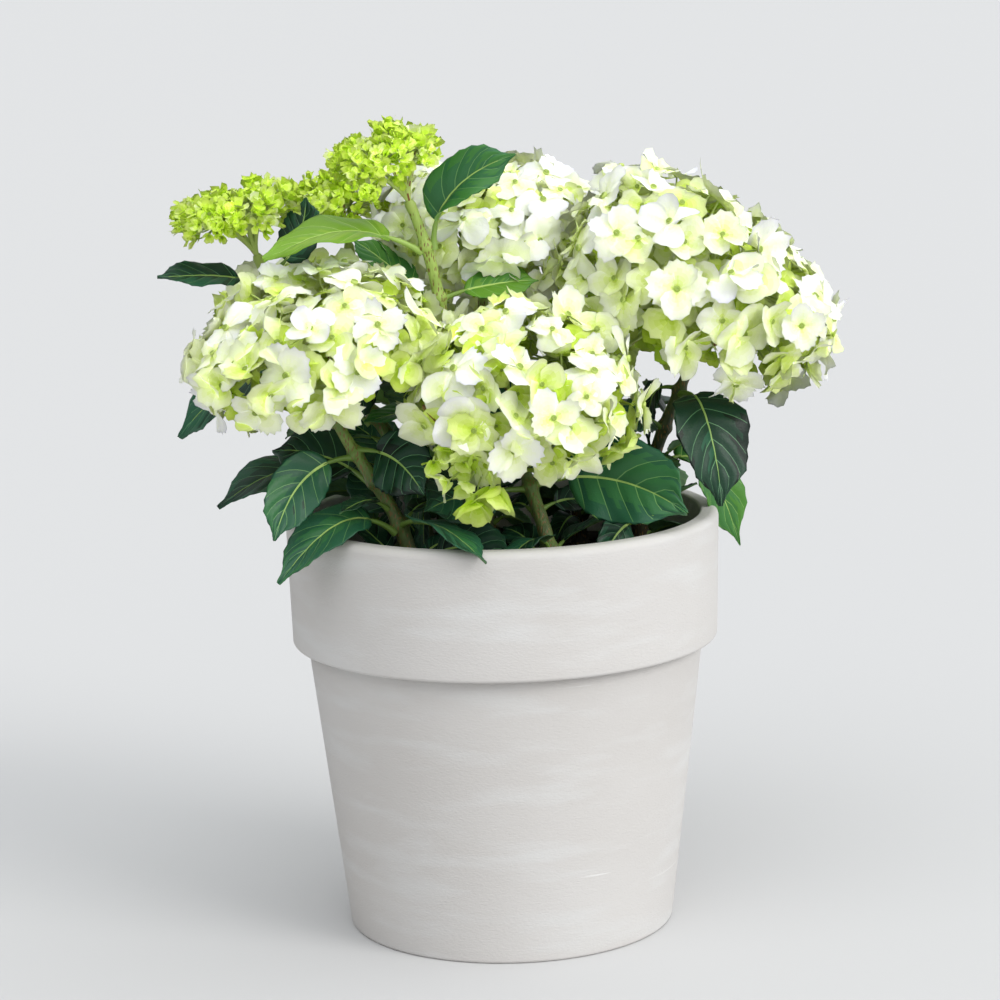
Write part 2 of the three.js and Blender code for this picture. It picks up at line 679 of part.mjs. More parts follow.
const { stems, pairs } = plant();
const hydrangea = new THREE.Group();
hydrangea.add(named("pot", "pot", potGeometry()));
hydrangea.add(named("soil", "soil", soilGeometry()));
stems.forEach((stem, i) => {
  const others = stems.filter((other) => other !== stem).map((other) => other.head);
  const bloom = geometryOf(headSolid(stem, others, i + 1));
  hydrangea.add(named(`stem_${stem.name}`, "stem", stemGeometry(stem)));
  hydrangea.add(named(`bloom_${stem.name}`, stem.head.young ? "youngBloom" : "bloom", bloom));
});
stems.forEach((stem) => {
  const own = pairs.filter((pair) => pair.stem === stem).sort((a, b) => a.up - b.up);
  own.forEach(({ leaves, place }, i) => {
    hydrangea.add(named(`leaves_${stem.name}_${i + 1}`, "leaf", geometryOf(pairSolid(leaves, place))));
  });
});

export default hydrangea;
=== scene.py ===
# %% [markdown]
# # A potted hydrangea in flower
#
# This lesson dresses a plain CAD model of a hydrangea in its clay pot until it looks real.
# The CAD model is the frame: it says where the pot, the stems, the leaves and the flower
# heads are, in metres, with +Z up and the viewer on the -Y side. Every piece made here keeps
# to the place that the frame gives it.

# %% The frame
import math

import bpy
import numpy as np
from mathutils import Matrix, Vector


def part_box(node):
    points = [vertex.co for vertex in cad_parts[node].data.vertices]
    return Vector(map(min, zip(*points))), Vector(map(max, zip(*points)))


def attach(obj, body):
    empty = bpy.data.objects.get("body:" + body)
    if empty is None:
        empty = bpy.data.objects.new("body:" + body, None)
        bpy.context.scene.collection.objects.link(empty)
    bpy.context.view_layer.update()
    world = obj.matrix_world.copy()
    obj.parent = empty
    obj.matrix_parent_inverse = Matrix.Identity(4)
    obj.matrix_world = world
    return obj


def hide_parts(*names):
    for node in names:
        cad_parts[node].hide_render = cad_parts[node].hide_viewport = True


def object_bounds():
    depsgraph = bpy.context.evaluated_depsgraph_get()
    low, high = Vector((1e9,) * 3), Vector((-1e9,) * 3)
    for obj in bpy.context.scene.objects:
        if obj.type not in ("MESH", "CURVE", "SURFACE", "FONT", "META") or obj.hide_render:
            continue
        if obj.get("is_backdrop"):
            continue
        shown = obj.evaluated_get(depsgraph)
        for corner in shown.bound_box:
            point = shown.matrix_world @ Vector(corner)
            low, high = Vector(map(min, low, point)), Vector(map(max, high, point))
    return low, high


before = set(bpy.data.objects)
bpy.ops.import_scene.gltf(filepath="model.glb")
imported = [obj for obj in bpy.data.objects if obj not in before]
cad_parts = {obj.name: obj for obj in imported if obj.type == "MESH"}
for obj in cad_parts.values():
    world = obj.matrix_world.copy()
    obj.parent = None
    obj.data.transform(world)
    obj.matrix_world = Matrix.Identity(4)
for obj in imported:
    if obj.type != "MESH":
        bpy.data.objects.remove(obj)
bpy.context.view_layer.update()
cad_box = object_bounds()
print("CAD nodes:", len(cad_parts))
print("CAD box:", [[round(x, 3) for x in corner] for corner in cad_box])

# %% [markdown]
# ## One camera, set where the photographer stood
#
# The picture was taken from a little above, with a long lens, so the pot's rim shows as a
# flat ellipse and its sides hardly converge. A camera could be turned by hand until it looks
# right. Here its three directions are written as a matrix, from a pitch and a small roll,
# because then each number has a meaning and nothing has to be tried.

# %% The camera
CAMERA_PLACE = (-0.0010, -1.7351, 0.5659)
CAMERA_PITCH = math.radians(10.38)
CAMERA_ROLL = math.radians(-1.45)
CAMERA_LENS = 109.8

ahead = np.array([0, math.cos(CAMERA_PITCH), -math.sin(CAMERA_PITCH)])
above = np.array([0, math.sin(CAMERA_PITCH), math.cos(CAMERA_PITCH)])
level = np.array([1.0, 0, 0])
right = math.cos(CAMERA_ROLL) * level + math.sin(CAMERA_ROLL) * above
up = math.cos(CAMERA_ROLL) * above - math.sin(CAMERA_ROLL) * level

camera = bpy.data.objects.new("camera", bpy.data.cameras.new("camera"))
camera.data.lens = CAMERA_LENS
turned = Matrix([right, up, -ahead]).transposed().to_4x4()
camera.matrix_world = Matrix.Translation(CAMERA_PLACE) @ turned
bpy.context.scene.collection.objects.link(camera)
bpy.context.scene.camera = camera
print("the camera stands", round(-CAMERA_PLACE[1], 2), "m in front")

# %% [markdown]
# ## Meshes from arrays of points
#
# A hydrangea has thousands of sepals and rays. Making each as its own object would be slow,
# and a particle system would be lost when the model leaves Blender. So each kind of piece is
# worked out as one array of points, laid out in rows and columns like a net, and many nets
# are joined into one mesh. Each face of a net carries a number that picks its material.

# %% Nets of points
def quads(rows, columns, closed):
    """The four-cornered faces of one net, as point numbers. A closed net is a tube."""
    i, j = np.meshgrid(np.arange(rows - 1), np.arange(columns - (not closed)), indexing="ij")
    k = (j + 1) % columns
    corners = [i * columns + j, i * columns + k, (i + 1) * columns + k, (i + 1) * columns + j]
    return np.stack(corners, -1).reshape(-1, 4)


def nets(points, tints=0, closed=False):
    """Many like nets as one part: points has the shape (nets, rows, columns, 3)."""
    count, rows, columns, _ = points.shape
    faces = quads(rows, columns, closed)
    numbers = faces[None] + np.arange(count)[:, None, None] * rows * columns
    tints = np.asarray(tints)
    if tints.ndim == 1:
        tints = tints[:, None]
    if tints.ndim == 3:
        tints = tints.reshape(count, -1)
    tints = np.broadcast_to(tints, (count, len(faces)))
    return points.reshape(-1, 3), numbers.reshape(-1, 4), tints.reshape(-1)


print("a net of 3 by 4 points has", len(quads(3, 4, False)), "faces")

# %% One object from several parts
triangle_counts = {}


def piece(name, parts, finishes, replaced):
    """One mesh object out of several parts, which stands for the CAD nodes in replaced."""
    starts = np.cumsum([0] + [len(points) for points, _, _ in parts])
    points = np.concatenate([points for points, _, _ in parts])
    faces = np.concatenate([faces + start for (_, faces, _), start in zip(parts, starts)])
    tints = np.concatenate([tints for _, _, tints in parts])
    mesh = bpy.data.meshes.new(name)
    mesh.vertices.add(len(points))
    mesh.vertices.foreach_set("co", points.astype(np.float32).ravel())
    mesh.loops.add(faces.size)
    mesh.loops.foreach_set("vertex_index", faces.astype(np.int32).ravel())
    mesh.polygons.add(len(faces))
    mesh.polygons.foreach_set("loop_start", np.arange(0, faces.size, 4, dtype=np.int32))
    mesh.polygons.foreach_set("material_index", tints.astype(np.int32))
    mesh.polygons.foreach_set("use_smooth", np.ones(len(faces), bool))
    mesh.update()
    for material in finishes:
        mesh.materials.append(material)
    made = bpy.data.objects.new(name, mesh)
    bpy.context.scene.collection.objects.link(made)
    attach(made, "root")
    if replaced:
        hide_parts(*replaced)
    triangle_counts[name] = 2 * len(faces)


print("pieces so far:", len(triangle_counts))

# %% [markdown]
# ## Directions
#
# Growing things need a small set of tools: a vector of length one, two directions that stand
# square to a stalk, and tubes along a line of points. They are written once, for many lines
# at a time, so that all the rays of a flower head are swept in one call.

# %% Directions
UP = np.array([0, 0, 1.0])


def unit(vectors):
    """The same directions, each of length one."""
    return vectors / np.maximum(np.linalg.norm(vectors, axis=-1, keepdims=True), 1e-12)


def square(axis):
    """Two directions square to each axis and to each other. The first is level."""
    side = np.stack([-axis[..., 1], axis[..., 0], np.zeros(axis.shape[:-1])], -1)
    flat = np.linalg.norm(side, axis=-1, keepdims=True) < 1e-6
    side = unit(np.where(flat, [1.0, 0, 0], side))
    return side, np.cross(side, axis)


def heading(turn, slope):
    """The direction with a compass angle and a slope, both in degrees."""
    turn, slope = np.radians(turn), np.radians(slope)
    return np.array([np.cos(slope) * np.cos(turn), np.cos(slope) * np.sin(turn), np.sin(slope)])


print("a heading of 0, 90 degrees is", heading(0, 90).round(2))

# %% Tubes along smooth lines
def tubes(lines, radii, sides, tints=0):
    """Round tubes along lines of points: lines is (tubes, steps, 3), radii (tubes, steps)."""
    along = unit(np.gradient(lines, axis=1))
    chord = unit(lines[:, -1] - lines[:, 0])
    guide = square(chord)[0][:, None, :]
    side = unit(guide - along * np.sum(guide * along, -1, keepdims=True))
    back = np.cross(side, along)
    angles = np.arange(sides) * 2 * math.pi / sides
    ring = side[:, :, None] * np.sin(angles)[:, None] + back[:, :, None] * np.cos(angles)[:, None]
    return nets(lines[:, :, None] + ring * np.asarray(radii)[..., None, None], tints, closed=True)


def bent(start, start_way, end, end_way, steps):
    """Smooth lines that leave start along start_way and reach end along end_way."""
    t = np.linspace(0, 1, steps)[:, None]
    start, end = start[..., None, :], end[..., None, :]
    first = start + start_way[..., None, :]
    second = end - end_way[..., None, :]
    return ((1 - t) ** 3 * start + 3 * (1 - t) ** 2 * t * first
            + 3 * (1 - t) * t ** 2 * second + t ** 3 * end)


print("a line bent from up to up rises evenly:", bent(0 * UP, UP, 3 * UP, UP, 4)[:, 2].round(2))

# %% Seeded numbers
def seeded(seed):
    """The same run of numbers from 0 to 1 as in the CAD source, so both grow one plant."""
    state = seed

    def draw():
        nonlocal state
        state = (state * 1664525 + 1013904223) % 2 ** 32
        return state / 2 ** 32

    return draw


print("the first number from seed 1 is", round(seeded(1)(), 4))

# %% [markdown]
# ## Plain finishes
#
# Every material here starts from one Principled shader. A colour is given as the eye reads
# it on a screen, and turned into the linear light that Blender works in. Petals and leaves
# carry a plain colour in each material, and the change of tint over them comes from which
# faces wear which material. A fine bump breaks the highlights up. Most nodes need a few
# values and a few links, so one helper adds a node with both.

# %% Colours and nodes
def linear(screen):
    """A colour as on a screen, from 0 to 255, in linear light."""
    share = np.array(screen) / 255
    light = np.where(share <= 0.04045, share / 12.92, ((share + 0.055) / 1.055) ** 2.4)
    return (*light.tolist(), 1.0)


def node(tree, kind, sources=None, settings=None, **values):
    """A new node: sources are linked to its sockets, and values are set on them."""
    made = tree.nodes.new("ShaderNode" + kind)
    for name, setting in (settings or {}).items():
        setattr(made, name, setting)
    for socket, value in values.items():
        made.inputs[socket.replace("_", " ")].default_value = value
    for socket, source in (sources or {}).items():
        tree.links.new(source, made.inputs[socket])
    return made


print("mid grey on screen is", round(linear((128, 128, 128))[0], 3), "in linear light")

# %% What several finishes need
def raised(tree, height, depth):
    """Gives the shader a fine bump: height is a socket, depth is in metres."""
    bump = node(tree, "Bump", {"Height": height}, Distance=depth)
    tree.links.new(bump.outputs["Normal"], tree.nodes["Principled BSDF"].inputs["Normal"])


def stepped(tree, source, low, high):
    """A share that rises from 0 to 1 as the source goes from low to high."""
    step = node(tree, "MapRange", {"Value": source}, From_Min=low, From_Max=high)
    return step.outputs["Result"]


def mixed(tree, share, first, second):
    """A colour between two others, each a socket or a colour as on a screen."""
    mix = node(tree, "Mix", {"Factor": share}, {"data_type": "RGBA"})
    for socket, colour in (("A", first), ("B", second)):
        if isinstance(colour, tuple):
            mix.inputs[socket].default_value = linear(colour)
        else:
            tree.links.new(colour, mix.inputs[socket])
    return mix.outputs["Result"]


print("white on screen is", linear((255, 255, 255))[0], "in linear light")

# %% One finish, and a run of them
def finish(name, colour, roughness, grain=None, **sockets):
    """A Principled material. grain is (scale in 1/m, depth in m) of a fine bump."""
    made = bpy.data.materials.new(name)
    made.use_nodes = True
    tree = made.node_tree
    values = {"Base_Color": linear(colour), "Roughness": roughness, **sockets}
    for socket, value in values.items():
        tree.nodes["Principled BSDF"].inputs[socket.replace("_", " ")].default_value = value
    if grain:
        scale, depth = grain
        place = node(tree, "TexCoord").outputs["Object"]
        noise = node(tree, "TexNoise", {"Vector": place}, Scale=scale, Detail=4)
        raised(tree, noise.outputs["Fac"], depth)
    return made


def ramp(name, stops, count, roughness, grain=None, **sockets):
    """A run of finishes whose colours pass evenly through the stops."""
    shares = np.linspace(0, len(stops) - 1, count)
    stops = np.array(stops, float)
    marks = np.arange(len(stops))
    colours = np.stack([np.interp(shares, marks, stops[:, i]) for i in range(3)], -1)
    return [finish(f"{name}_{i}", colour, roughness, grain, **sockets)
            for i, colour in enumerate(colours)]


print("materials so far:", len(bpy.data.materials))

# %% [markdown]
# ## The plant's plan
#
# The CAD source grows each stem from a few sizes: where its foot stands on the compost,
# where it ends, and the place, lean and half sizes of its flower head. The same plan is
# written here again, in metres, because everything finer grows on from it: the bark, the
# rays, the leaves and the florets. `youth` runs from 0, a head in full white, to 1, a new one
# that is still lime-green.

# %% The plan of the stems and their heads
# name: foot, end, middle of the head, its axis, across, deep, under, youth
PLAN = {
    "front_left": ((-0.050, -0.066), (-0.092, -0.064, 0.311), (-0.102, -0.060, 0.345),
                   (-0.3, -0.2, 0.93), 0.074, 0.046, -0.45, 0.12),
    "front_middle": ((0.028, -0.072), (0.011, -0.054, 0.291), (0.013, -0.080, 0.321),
                     (0.08, -0.66, 0.75), 0.068, 0.054, -0.55, 0.2),
    "right": ((0.078, -0.012), (0.107, -0.011, 0.320), (0.118, -0.010, 0.369),
              (0.4, -0.1, 0.91), 0.086, 0.066, -0.62, 0.34),
    "middle": ((-0.008, 0.022), (-0.008, 0.036, 0.362), (-0.009, 0.042, 0.400),
               (0.02, -0.2, 0.98), 0.065, 0.044, -0.45, 0.04),
    "young_top": ((-0.026, -0.020), (-0.046, -0.029, 0.420), (-0.057, -0.030, 0.446),
                  (-0.36, -0.04, 0.93), 0.034, 0.021, -0.3, 1),
    "young_left": ((-0.044, 0.018), (-0.136, 0.022, 0.387), (-0.149, 0.021, 0.415),
                   (-0.38, -0.06, 0.92), 0.037, 0.020, -0.3, 1),
    "young_back": ((-0.034, 0.046), (-0.086, 0.065, 0.388), (-0.092, 0.066, 0.413),
                   (-0.16, 0.05, 0.98), 0.029, 0.020, -0.3, 1),
    "back_left": ((-0.062, 0.048), (-0.113, 0.078, 0.312), (-0.124, 0.086, 0.343),
                  (-0.3, 0.25, 0.92), 0.050, 0.038, -0.45, 0.25),
    "back_middle": ((-0.010, 0.074), (-0.022, 0.112, 0.306), (-0.027, 0.128, 0.338),
                    (-0.08, 0.4, 0.91), 0.053, 0.042, -0.45, 0.1),
    "back_right": ((0.046, 0.050), (0.068, 0.094, 0.307), (0.078, 0.108, 0.341),
                   (0.18, 0.36, 0.92), 0.053, 0.042, -0.45, 0.3),
}
print("the plan has", len(PLAN), "stems")

# %% The stems
POT_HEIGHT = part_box("pot")[1].z
RIM_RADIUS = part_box("pot")[1].x
SOIL_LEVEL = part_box("soil")[1].z
CLEARANCE = 0.0003
STEM_STEPS, CURVE_STEPS = 8, 201
FOOT_PULL, HEAD_PULL = 0.4, 0.3


def stem_curve(stem, shares):
    """Points on a stem's smooth curve: upright at its foot, along its head's axis on top."""
    length = np.linalg.norm(stem["end"] - stem["foot"])
    line = bent(stem["foot"], UP * length * FOOT_PULL,
                stem["end"], stem["axis"] * length * HEAD_PULL, CURVE_STEPS)
    marks = np.linspace(0, 1, CURVE_STEPS)
    return np.stack([np.interp(shares, marks, line[:, i]) for i in range(3)], -1)


stems = {}
for row, (name, sizes) in enumerate(PLAN.items()):
    foot, end, middle, axis, across, deep, under, youth = sizes
    stem = {"name": name, "row": row, "foot": np.array([*foot, SOIL_LEVEL + CLEARANCE]),
            "end": np.array(end), "middle": np.array(middle), "axis": unit(np.array(axis)),
            "across": across, "deep": deep, "under": under, "youth": youth, "young": youth == 1}
    stem["points"] = stem_curve(stem, np.arange(STEM_STEPS + 1) / STEM_STEPS)
    stems[name] = stem
print(len(stems), "stems, the tallest ends at", max(s["end"][2] for s in stems.values()), "m")

# %% [markdown]
# ## Where the leaves go
#
# Hydrangea leaves stand in opposite pairs, and each pair is turned a quarter from the one
# below. The leaves that stand out in the picture have their tips given. All others follow
# the source's rule: a seeded size and slope, and then a search for room, so that no leaf
# passes through a stem, a flower head or another leaf. Running the rule again, and not
# reading shapes out of the CAD mesh, gives each leaf its smooth curve to grow a blade on.

# %% The shown leaves
# stem, share of its height, then two leaves: tip, turn, lift, roll, width
SHOWN_PAIRS = [
    ("front_middle", 0.6, ((0.102, -0.090, 0.254), -8, 18, 68, 1.0),
     ((-0.042, -0.106, 0.262), 195, 2, -50, 0.9)),
    ("front_middle", 0.2, ((0.000, -0.107, 0.231), -110, 55, 12, 1.1),
     ((0.066, -0.054, 0.248), 62, 30, -10, 0.9)),
    ("right", 0.9, ((0.123, -0.050, 0.250), -64, 12, 0, 1.2),
     ((0.086, 0.002, 0.276), 150, 10, -60, 0.9)),
    ("right", 0.46, ((0.139, 0.016, 0.214), 22, 42, 24, 0.9),
     ((0.034, 0.026, 0.262), 150, 30, 15, 0.95)),
    ("front_left", 0.1, ((0.004, -0.098, 0.232), -20, 40, 50, 1.0),
     ((-0.096, -0.036, 0.252), 150, 45, 0, 0.9)),
    ("front_left", 0.3, ((-0.124, -0.098, 0.222), 200, 40, -26, 0.8),
     ((-0.009, -0.134, 0.238), -66, 22, -14, 0.66)),
    ("front_left", 0.74, ((-0.125, -0.098, 0.246), 205, 0, -62, 0.85),
     ((-0.042, -0.096, 0.269), -30, 4, 66, 1.3)),
    ("young_top", 0.88, ((0.013, -0.046, 0.454), -12, 55, 56, 0.95),
     ((-0.129, -0.050, 0.395), 190, 32, -14, 0.9)),
    ("young_top", 0.72, ((-0.082, 0.002, 0.401), 150, 34, -20, 0.7),
     ((0.024, -0.025, 0.377), -2, 22, 14, 0.65)),
    ("young_left", 0.95, ((-0.194, 0.005, 0.382), 192, 8, -26, 0.8),
     ((-0.109, 0.036, 0.423), 14, 38, 62, 0.9)),
    ("young_left", 0.66, ((-0.186, 0.016, 0.286), 200, 6, -30, 0.85),
     ((-0.090, -0.030, 0.292), -40, 10, 20, 0.95)),
    ("back_left", 0.42, ((-0.168, 0.036, 0.241), 190, 18, -20, 0.8),
     ((-0.040, 0.118, 0.256), 50, 25, -15, 0.9)),
]
print(len(SHOWN_PAIRS), "pairs are placed after the picture")

# %% A place on a stem
STEM_FOOT_RADIUS, STEM_TIP_RADIUS = 0.0044, 0.0029
ROOT_FLARE, FLARE_SHARE = 0.0019, 0.07


def stem_radius(share):
    """A stem's radius at a share of its height: it tapers, and flares at its foot."""
    flare = np.maximum(0, 1 - share / FLARE_SHARE)
    taper = (STEM_TIP_RADIUS - STEM_FOOT_RADIUS) * share
    return STEM_FOOT_RADIUS + taper + ROOT_FLARE * flare ** 2


def on_stem(stem, share):
    """A point on a stem's broken line, the line's direction and the stem's radius there."""
    along = min(share * STEM_STEPS, STEM_STEPS - 1e-9)
    step = int(along)
    low, high = stem["points"][step], stem["points"][step + 1]
    thick = [stem_radius(k / STEM_STEPS) for k in (step, step + 1)]
    part = along - step
    thick_here = thick[0] + (thick[1] - thick[0]) * part
    return low + (high - low) * part, unit(high - low), thick_here


print("a stem is", round(2000 * stem_radius(0.5), 1), "mm thick at half its height")

# %% The curve of a leaf
BLADE_SHARE, STALK_RADIUS, STALK_SHARE = 0.34, 0.0015, 0.2
RING_THICKNESS, LEAF_PULL, TIP_PULL = 0.0005, 0.5, 0.3


def shaped(tip, turn, lift, roll, wide, place):
    """A leaf's curve from its stem to its tip, with the size and the tilt of its blade."""
    point, axis, thick = place
    way = heading(turn, lift)
    slope = way @ axis
    reach_out = thick + CLEARANCE + RING_THICKNESS + STALK_RADIUS * abs(slope)
    start = point + unit(way - axis * slope) * reach_out
    tip = np.array(tip)
    reach = np.linalg.norm(tip - start)
    flat = tip - start + way * reach * TIP_PULL
    return {"curve": (start, start + way * reach * LEAF_PULL, tip), "roll": math.radians(roll),
            "flat": unit(np.array([flat[1], -flat[0], 0])), "reach": reach,
            "half": reach * (1 - STALK_SHARE) * BLADE_SHARE * wide}


def on_curve(leaf, t):
    """Points on a leaf's curve, where t runs from 0 at the stem to 1 at the tip."""
    t = np.asarray(t)[..., None]
    start, bend, tip = leaf["curve"]
    return (1 - t) ** 2 * start + 2 * (1 - t) * t * bend + t ** 2 * tip


print("the stalk takes", STALK_SHARE, "of a leaf's length, and the blade the rest")

# %% The blade of a leaf
WIDEST, FOOT_POWER, TIP_POWER, BLADE_FOLD = 0.387, 0.6, 0.95, 0.16


def outline(s):
    """The share of its full half width that a blade has at share s of its length."""
    fullest = WIDEST ** FOOT_POWER * (1 - WIDEST) ** TIP_POWER
    return s ** FOOT_POWER * (1 - s) ** TIP_POWER / fullest


def blade_frame(leaf, s):
    """The middle of the blade at share s, and the ways to its right edge and out of it."""
    t = STALK_SHARE + (1 - STALK_SHARE) * np.asarray(s)
    start, bend, tip = leaf["curve"]
    along = unit((1 - t)[..., None] * (bend - start) + t[..., None] * (tip - bend))
    across = unit(leaf["flat"] - along * (along @ leaf["flat"])[..., None])
    lifted = np.cross(along, across)
    roll = (leaf["roll"] + leaf.get("twist", 0) * np.asarray(s))[..., None]
    across = across * np.cos(roll) + lifted * np.sin(roll)
    return on_curve(leaf, t), across, np.cross(across, along)


print("a blade is widest at", WIDEST, "of its length")

# %% Room for a leaf
LEAF_GAP, STALK_GAP, STEM_GAP, HEAD_GAP = 0.0036, 0.002, 0.0046, 0.12
CHECKED_ALONG, CHECKED_ACROSS = np.arange(13) / 12, np.arange(-3, 4) / 3
CHECKED_ON_STALK = (0.09, 0.13, 0.17)


def within(stem, points):
    """How far points are into a head's space: under 1 is inside it."""
    away = points - stem["middle"]
    along = away @ stem["axis"]
    level_part = np.sum(away * away, -1) - along ** 2
    return level_part / stem["across"] ** 2 + along ** 2 / stem["deep"] ** 2


def space_of(leaf):
    """Points over a leaf and its stalk, and the room that each keeps."""
    s, across = np.meshgrid(CHECKED_ALONG, CHECKED_ACROSS, indexing="ij")
    middle, right_way, out = blade_frame(leaf, s)
    half = (leaf["half"] * outline(s))[..., None]
    across = across[..., None]
    blade = middle + right_way * across * half + out * BLADE_FOLD * half * abs(across)
    points = np.concatenate([blade.reshape(-1, 3), on_curve(leaf, CHECKED_ON_STALK)])
    return points, np.where(np.arange(len(points)) < blade.size // 3, LEAF_GAP, STALK_GAP)


def to_stem(stem, points):
    """The shortest way from points to a stem's broken line."""
    low, high = stem["points"][:-1], stem["points"][1:]
    run = high - low
    share = np.einsum("nki,ki->nk", points[:, None] - low, run) / np.sum(run * run, -1)
    closest = low + run * np.clip(share, 0, 1)[..., None]
    return np.linalg.norm(points[:, None] - closest, axis=-1).min(1)


# %% Does a leaf fit?
POT_FLOOR, INNER_DEPTH, INNER_FOOT_RADIUS, INNER_RIM_RADIUS = 0.012, 0.230, 0.086, 0.114
WALL_GAP, RIM_GAP, OWN_STEM_GAP, LOOK_AROUND = 0.003, 0.002, 0.001, 0.01


def inner_radius(z):
    """The radius of the pot's hollow at a height."""
    opening = INNER_RIM_RADIUS - INNER_FOOT_RADIUS
    return INNER_FOOT_RADIUS + opening * (z - POT_FLOOR) / INNER_DEPTH


def fits(leaf, own, taken):
    """True if a leaf is clear of the pot, the stems, the heads and the leaves so far."""
    points, gaps = space_of(leaf)
    radius = np.hypot(points[:, 0], points[:, 1])
    height = points[:, 2]
    in_pot = (radius < inner_radius(POT_HEIGHT) - WALL_GAP) & (height > SOIL_LEVEL + WALL_GAP)
    free = (height > POT_HEIGHT + RIM_GAP) | (radius > RIM_RADIUS + RIM_GAP) | in_pot
    for stem in stems.values():
        free &= within(stem, points) >= 1 + HEAD_GAP
        away = to_stem(stem, points)
        if stem is not own:
            free &= away >= STEM_GAP + gaps
        else:
            free &= (away >= STEM_GAP + OWN_STEM_GAP) | (gaps != LEAF_GAP)
    if not free.all():
        return False
    low, high = points.min(0) - LOOK_AROUND, points.max(0) + LOOK_AROUND
    for other, other_gaps in taken:
        if (other.min(0) > high).any() or (other.max(0) < low).any():
            continue
        apart = np.linalg.norm(points[:, None] - other[None], axis=-1)
        if (apart <= gaps[:, None] + other_gaps[None]).any():
            return False
    return True


print("the hollow is", round(2 * inner_radius(POT_HEIGHT), 3), "m across at the rim")

# %% A leaf by the rule
RULE_LENGTH, RULE_LIFT, RULE_DROOP = (0.074, 0.098), (10, 50), (35, 95)
RULE_ROLL, ROLL_JITTER, LEAF_TRIES = 60, 30, 28
TRY_ASIDE, TRY_SHORTER, TRY_HIGHER = 5, 0.02, 12


def between(limits, share):
    """The value at a share of the way from one limit to the other."""
    return limits[0] + (limits[1] - limits[0]) * share


def leaf_by_rule(stem, share, turn, draw, taken, lengths=RULE_LENGTH, tries=LEAF_TRIES):
    """The leaf that the rule gives at a place on a stem, or None if it finds no room."""
    place = on_stem(stem, share)
    long, lift = between(lengths, draw()), between(RULE_LIFT, draw())
    droop, jitter = between(RULE_DROOP, draw()), ROLL_JITTER * (draw() - 0.5)
    for i in range(tries):
        swing = turn + (-1 if i % 2 else 1) * math.ceil(i / 2) * TRY_ASIDE
        size, rise = long * (1 - TRY_SHORTER * i), lift + (i % 3) * TRY_HIGHER
        tip = place[0] + (heading(swing, rise) + heading(swing, rise - droop)) * size * 0.5
        outward = math.degrees(math.atan2(tip[1] + place[0][1], tip[0] + place[0][0]))
        roll = jitter - RULE_ROLL * math.sin(math.radians(outward - swing))
        leaf = shaped(tip, swing, rise, roll, 1, place)
        if fits(leaf, stem, taken):
            return leaf
    return None


print("a leaf may try", LEAF_TRIES, "places")

# %% All the pairs of leaves
PAIRS_BY_RULE = {"front_left": 2, "front_middle": 2, "right": 3, "middle": 3, "young_top": 4,
                 "young_left": 3, "young_back": 3, "back_left": 3, "back_middle": 4,
                 "back_right": 4}
RULE_HEIGHTS, RULE_APART = (0.12, 0.84), 0.013
PLACE_START, PLACE_SPREAD = 0.15, 0.3

pairs = [{"stem": stems[name], "up": share,
          "leaves": [shaped(*leaf, on_stem(stems[name], share)) for leaf in leaves]}
         for name, share, *leaves in SHOWN_PAIRS]
taken = [space_of(leaf) for pair in pairs for leaf in pair["leaves"]]
for stem in stems.values():
    draw = seeded(stem["row"] * 31 + 5)
    length = np.linalg.norm(stem["points"][-1] - stem["points"][0])
    first_turn = 360 * draw()
    count = PAIRS_BY_RULE[stem["name"]]
    for i in range(count):
        share = between(RULE_HEIGHTS, (i + PLACE_START + PLACE_SPREAD * draw()) / count)
        if any(pair["stem"] is stem and abs(pair["up"] - share) * length < RULE_APART
               for pair in pairs):
            continue
        found = []
        for turn in (first_turn + i * 90, first_turn + i * 90 + 180):
            leaf = leaf_by_rule(stem, share, turn, draw, taken)
            if leaf:
                found.append(leaf)
                taken.append(space_of(leaf))
        if found:
            pairs.append({"stem": stem, "up": share, "leaves": found})
print(len(pairs), "pairs,", sum(len(pair["leaves"]) for pair in pairs), "leaves")
leaf_nodes = [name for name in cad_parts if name.startswith("leaves_")]
print("the CAD model has", len(leaf_nodes), "pairs")

# %% [markdown]
# ## Small leaves in the axils
#
# Between a big leaf and its stem sits a bud, and many of them have already made a small
# leaf or two. They fill the dark middle of the shrub. They are too small for the CAD model,
# but the same rule finds them: it tries shorter leaves all the way up each stem, and keeps
# the ones that have room beside everything so far.

# %% Small leaves by the same rule
SMALL_LENGTH, SMALL_TRIES, SMALL_PLACES = (0.034, 0.06), 6, 7
SMALL_HEIGHTS, SMALL_SPREAD, SMALL_TOP = (0.1, 0.8), 0.6, 0.31
small_leaves = []
for stem in stems.values():
    draw = seeded(stem["row"] * 17 + 3)
    for i in range(SMALL_PLACES):
        share = between(SMALL_HEIGHTS, (i + SMALL_SPREAD * draw()) / SMALL_PLACES)
        first_turn = 360 * draw()
        for turn in range(0, 360, 90):
            leaf = leaf_by_rule(stem, share, first_turn + turn, draw, taken, SMALL_LENGTH,
                                SMALL_TRIES)
            if leaf and leaf["curve"][0][2] < SMALL_TOP:
                taken.append(space_of(leaf))
                small_leaves.append({"stem": stem, "leaf": leaf})
print(len(small_leaves), "small leaves")

# %% [markdown]
# ## Leaves with veins and teeth
#
# A hydrangea leaf is quilted: its side veins lie in grooves and the blade swells between
# them, and its edge is saw-toothed. Veins could be painted on, but a painted line doesn't
# catch the light. Here the rows of each blade's net follow the side veins, which leave the
# midrib and sweep towards the tip, so a vein is a narrow row of paler faces in a groove. The
# net runs over the upper side and back under the lower one, which makes the blade a closed,
# thin solid. Leaves that the picture shows darker, fresher or folded are set one by one.

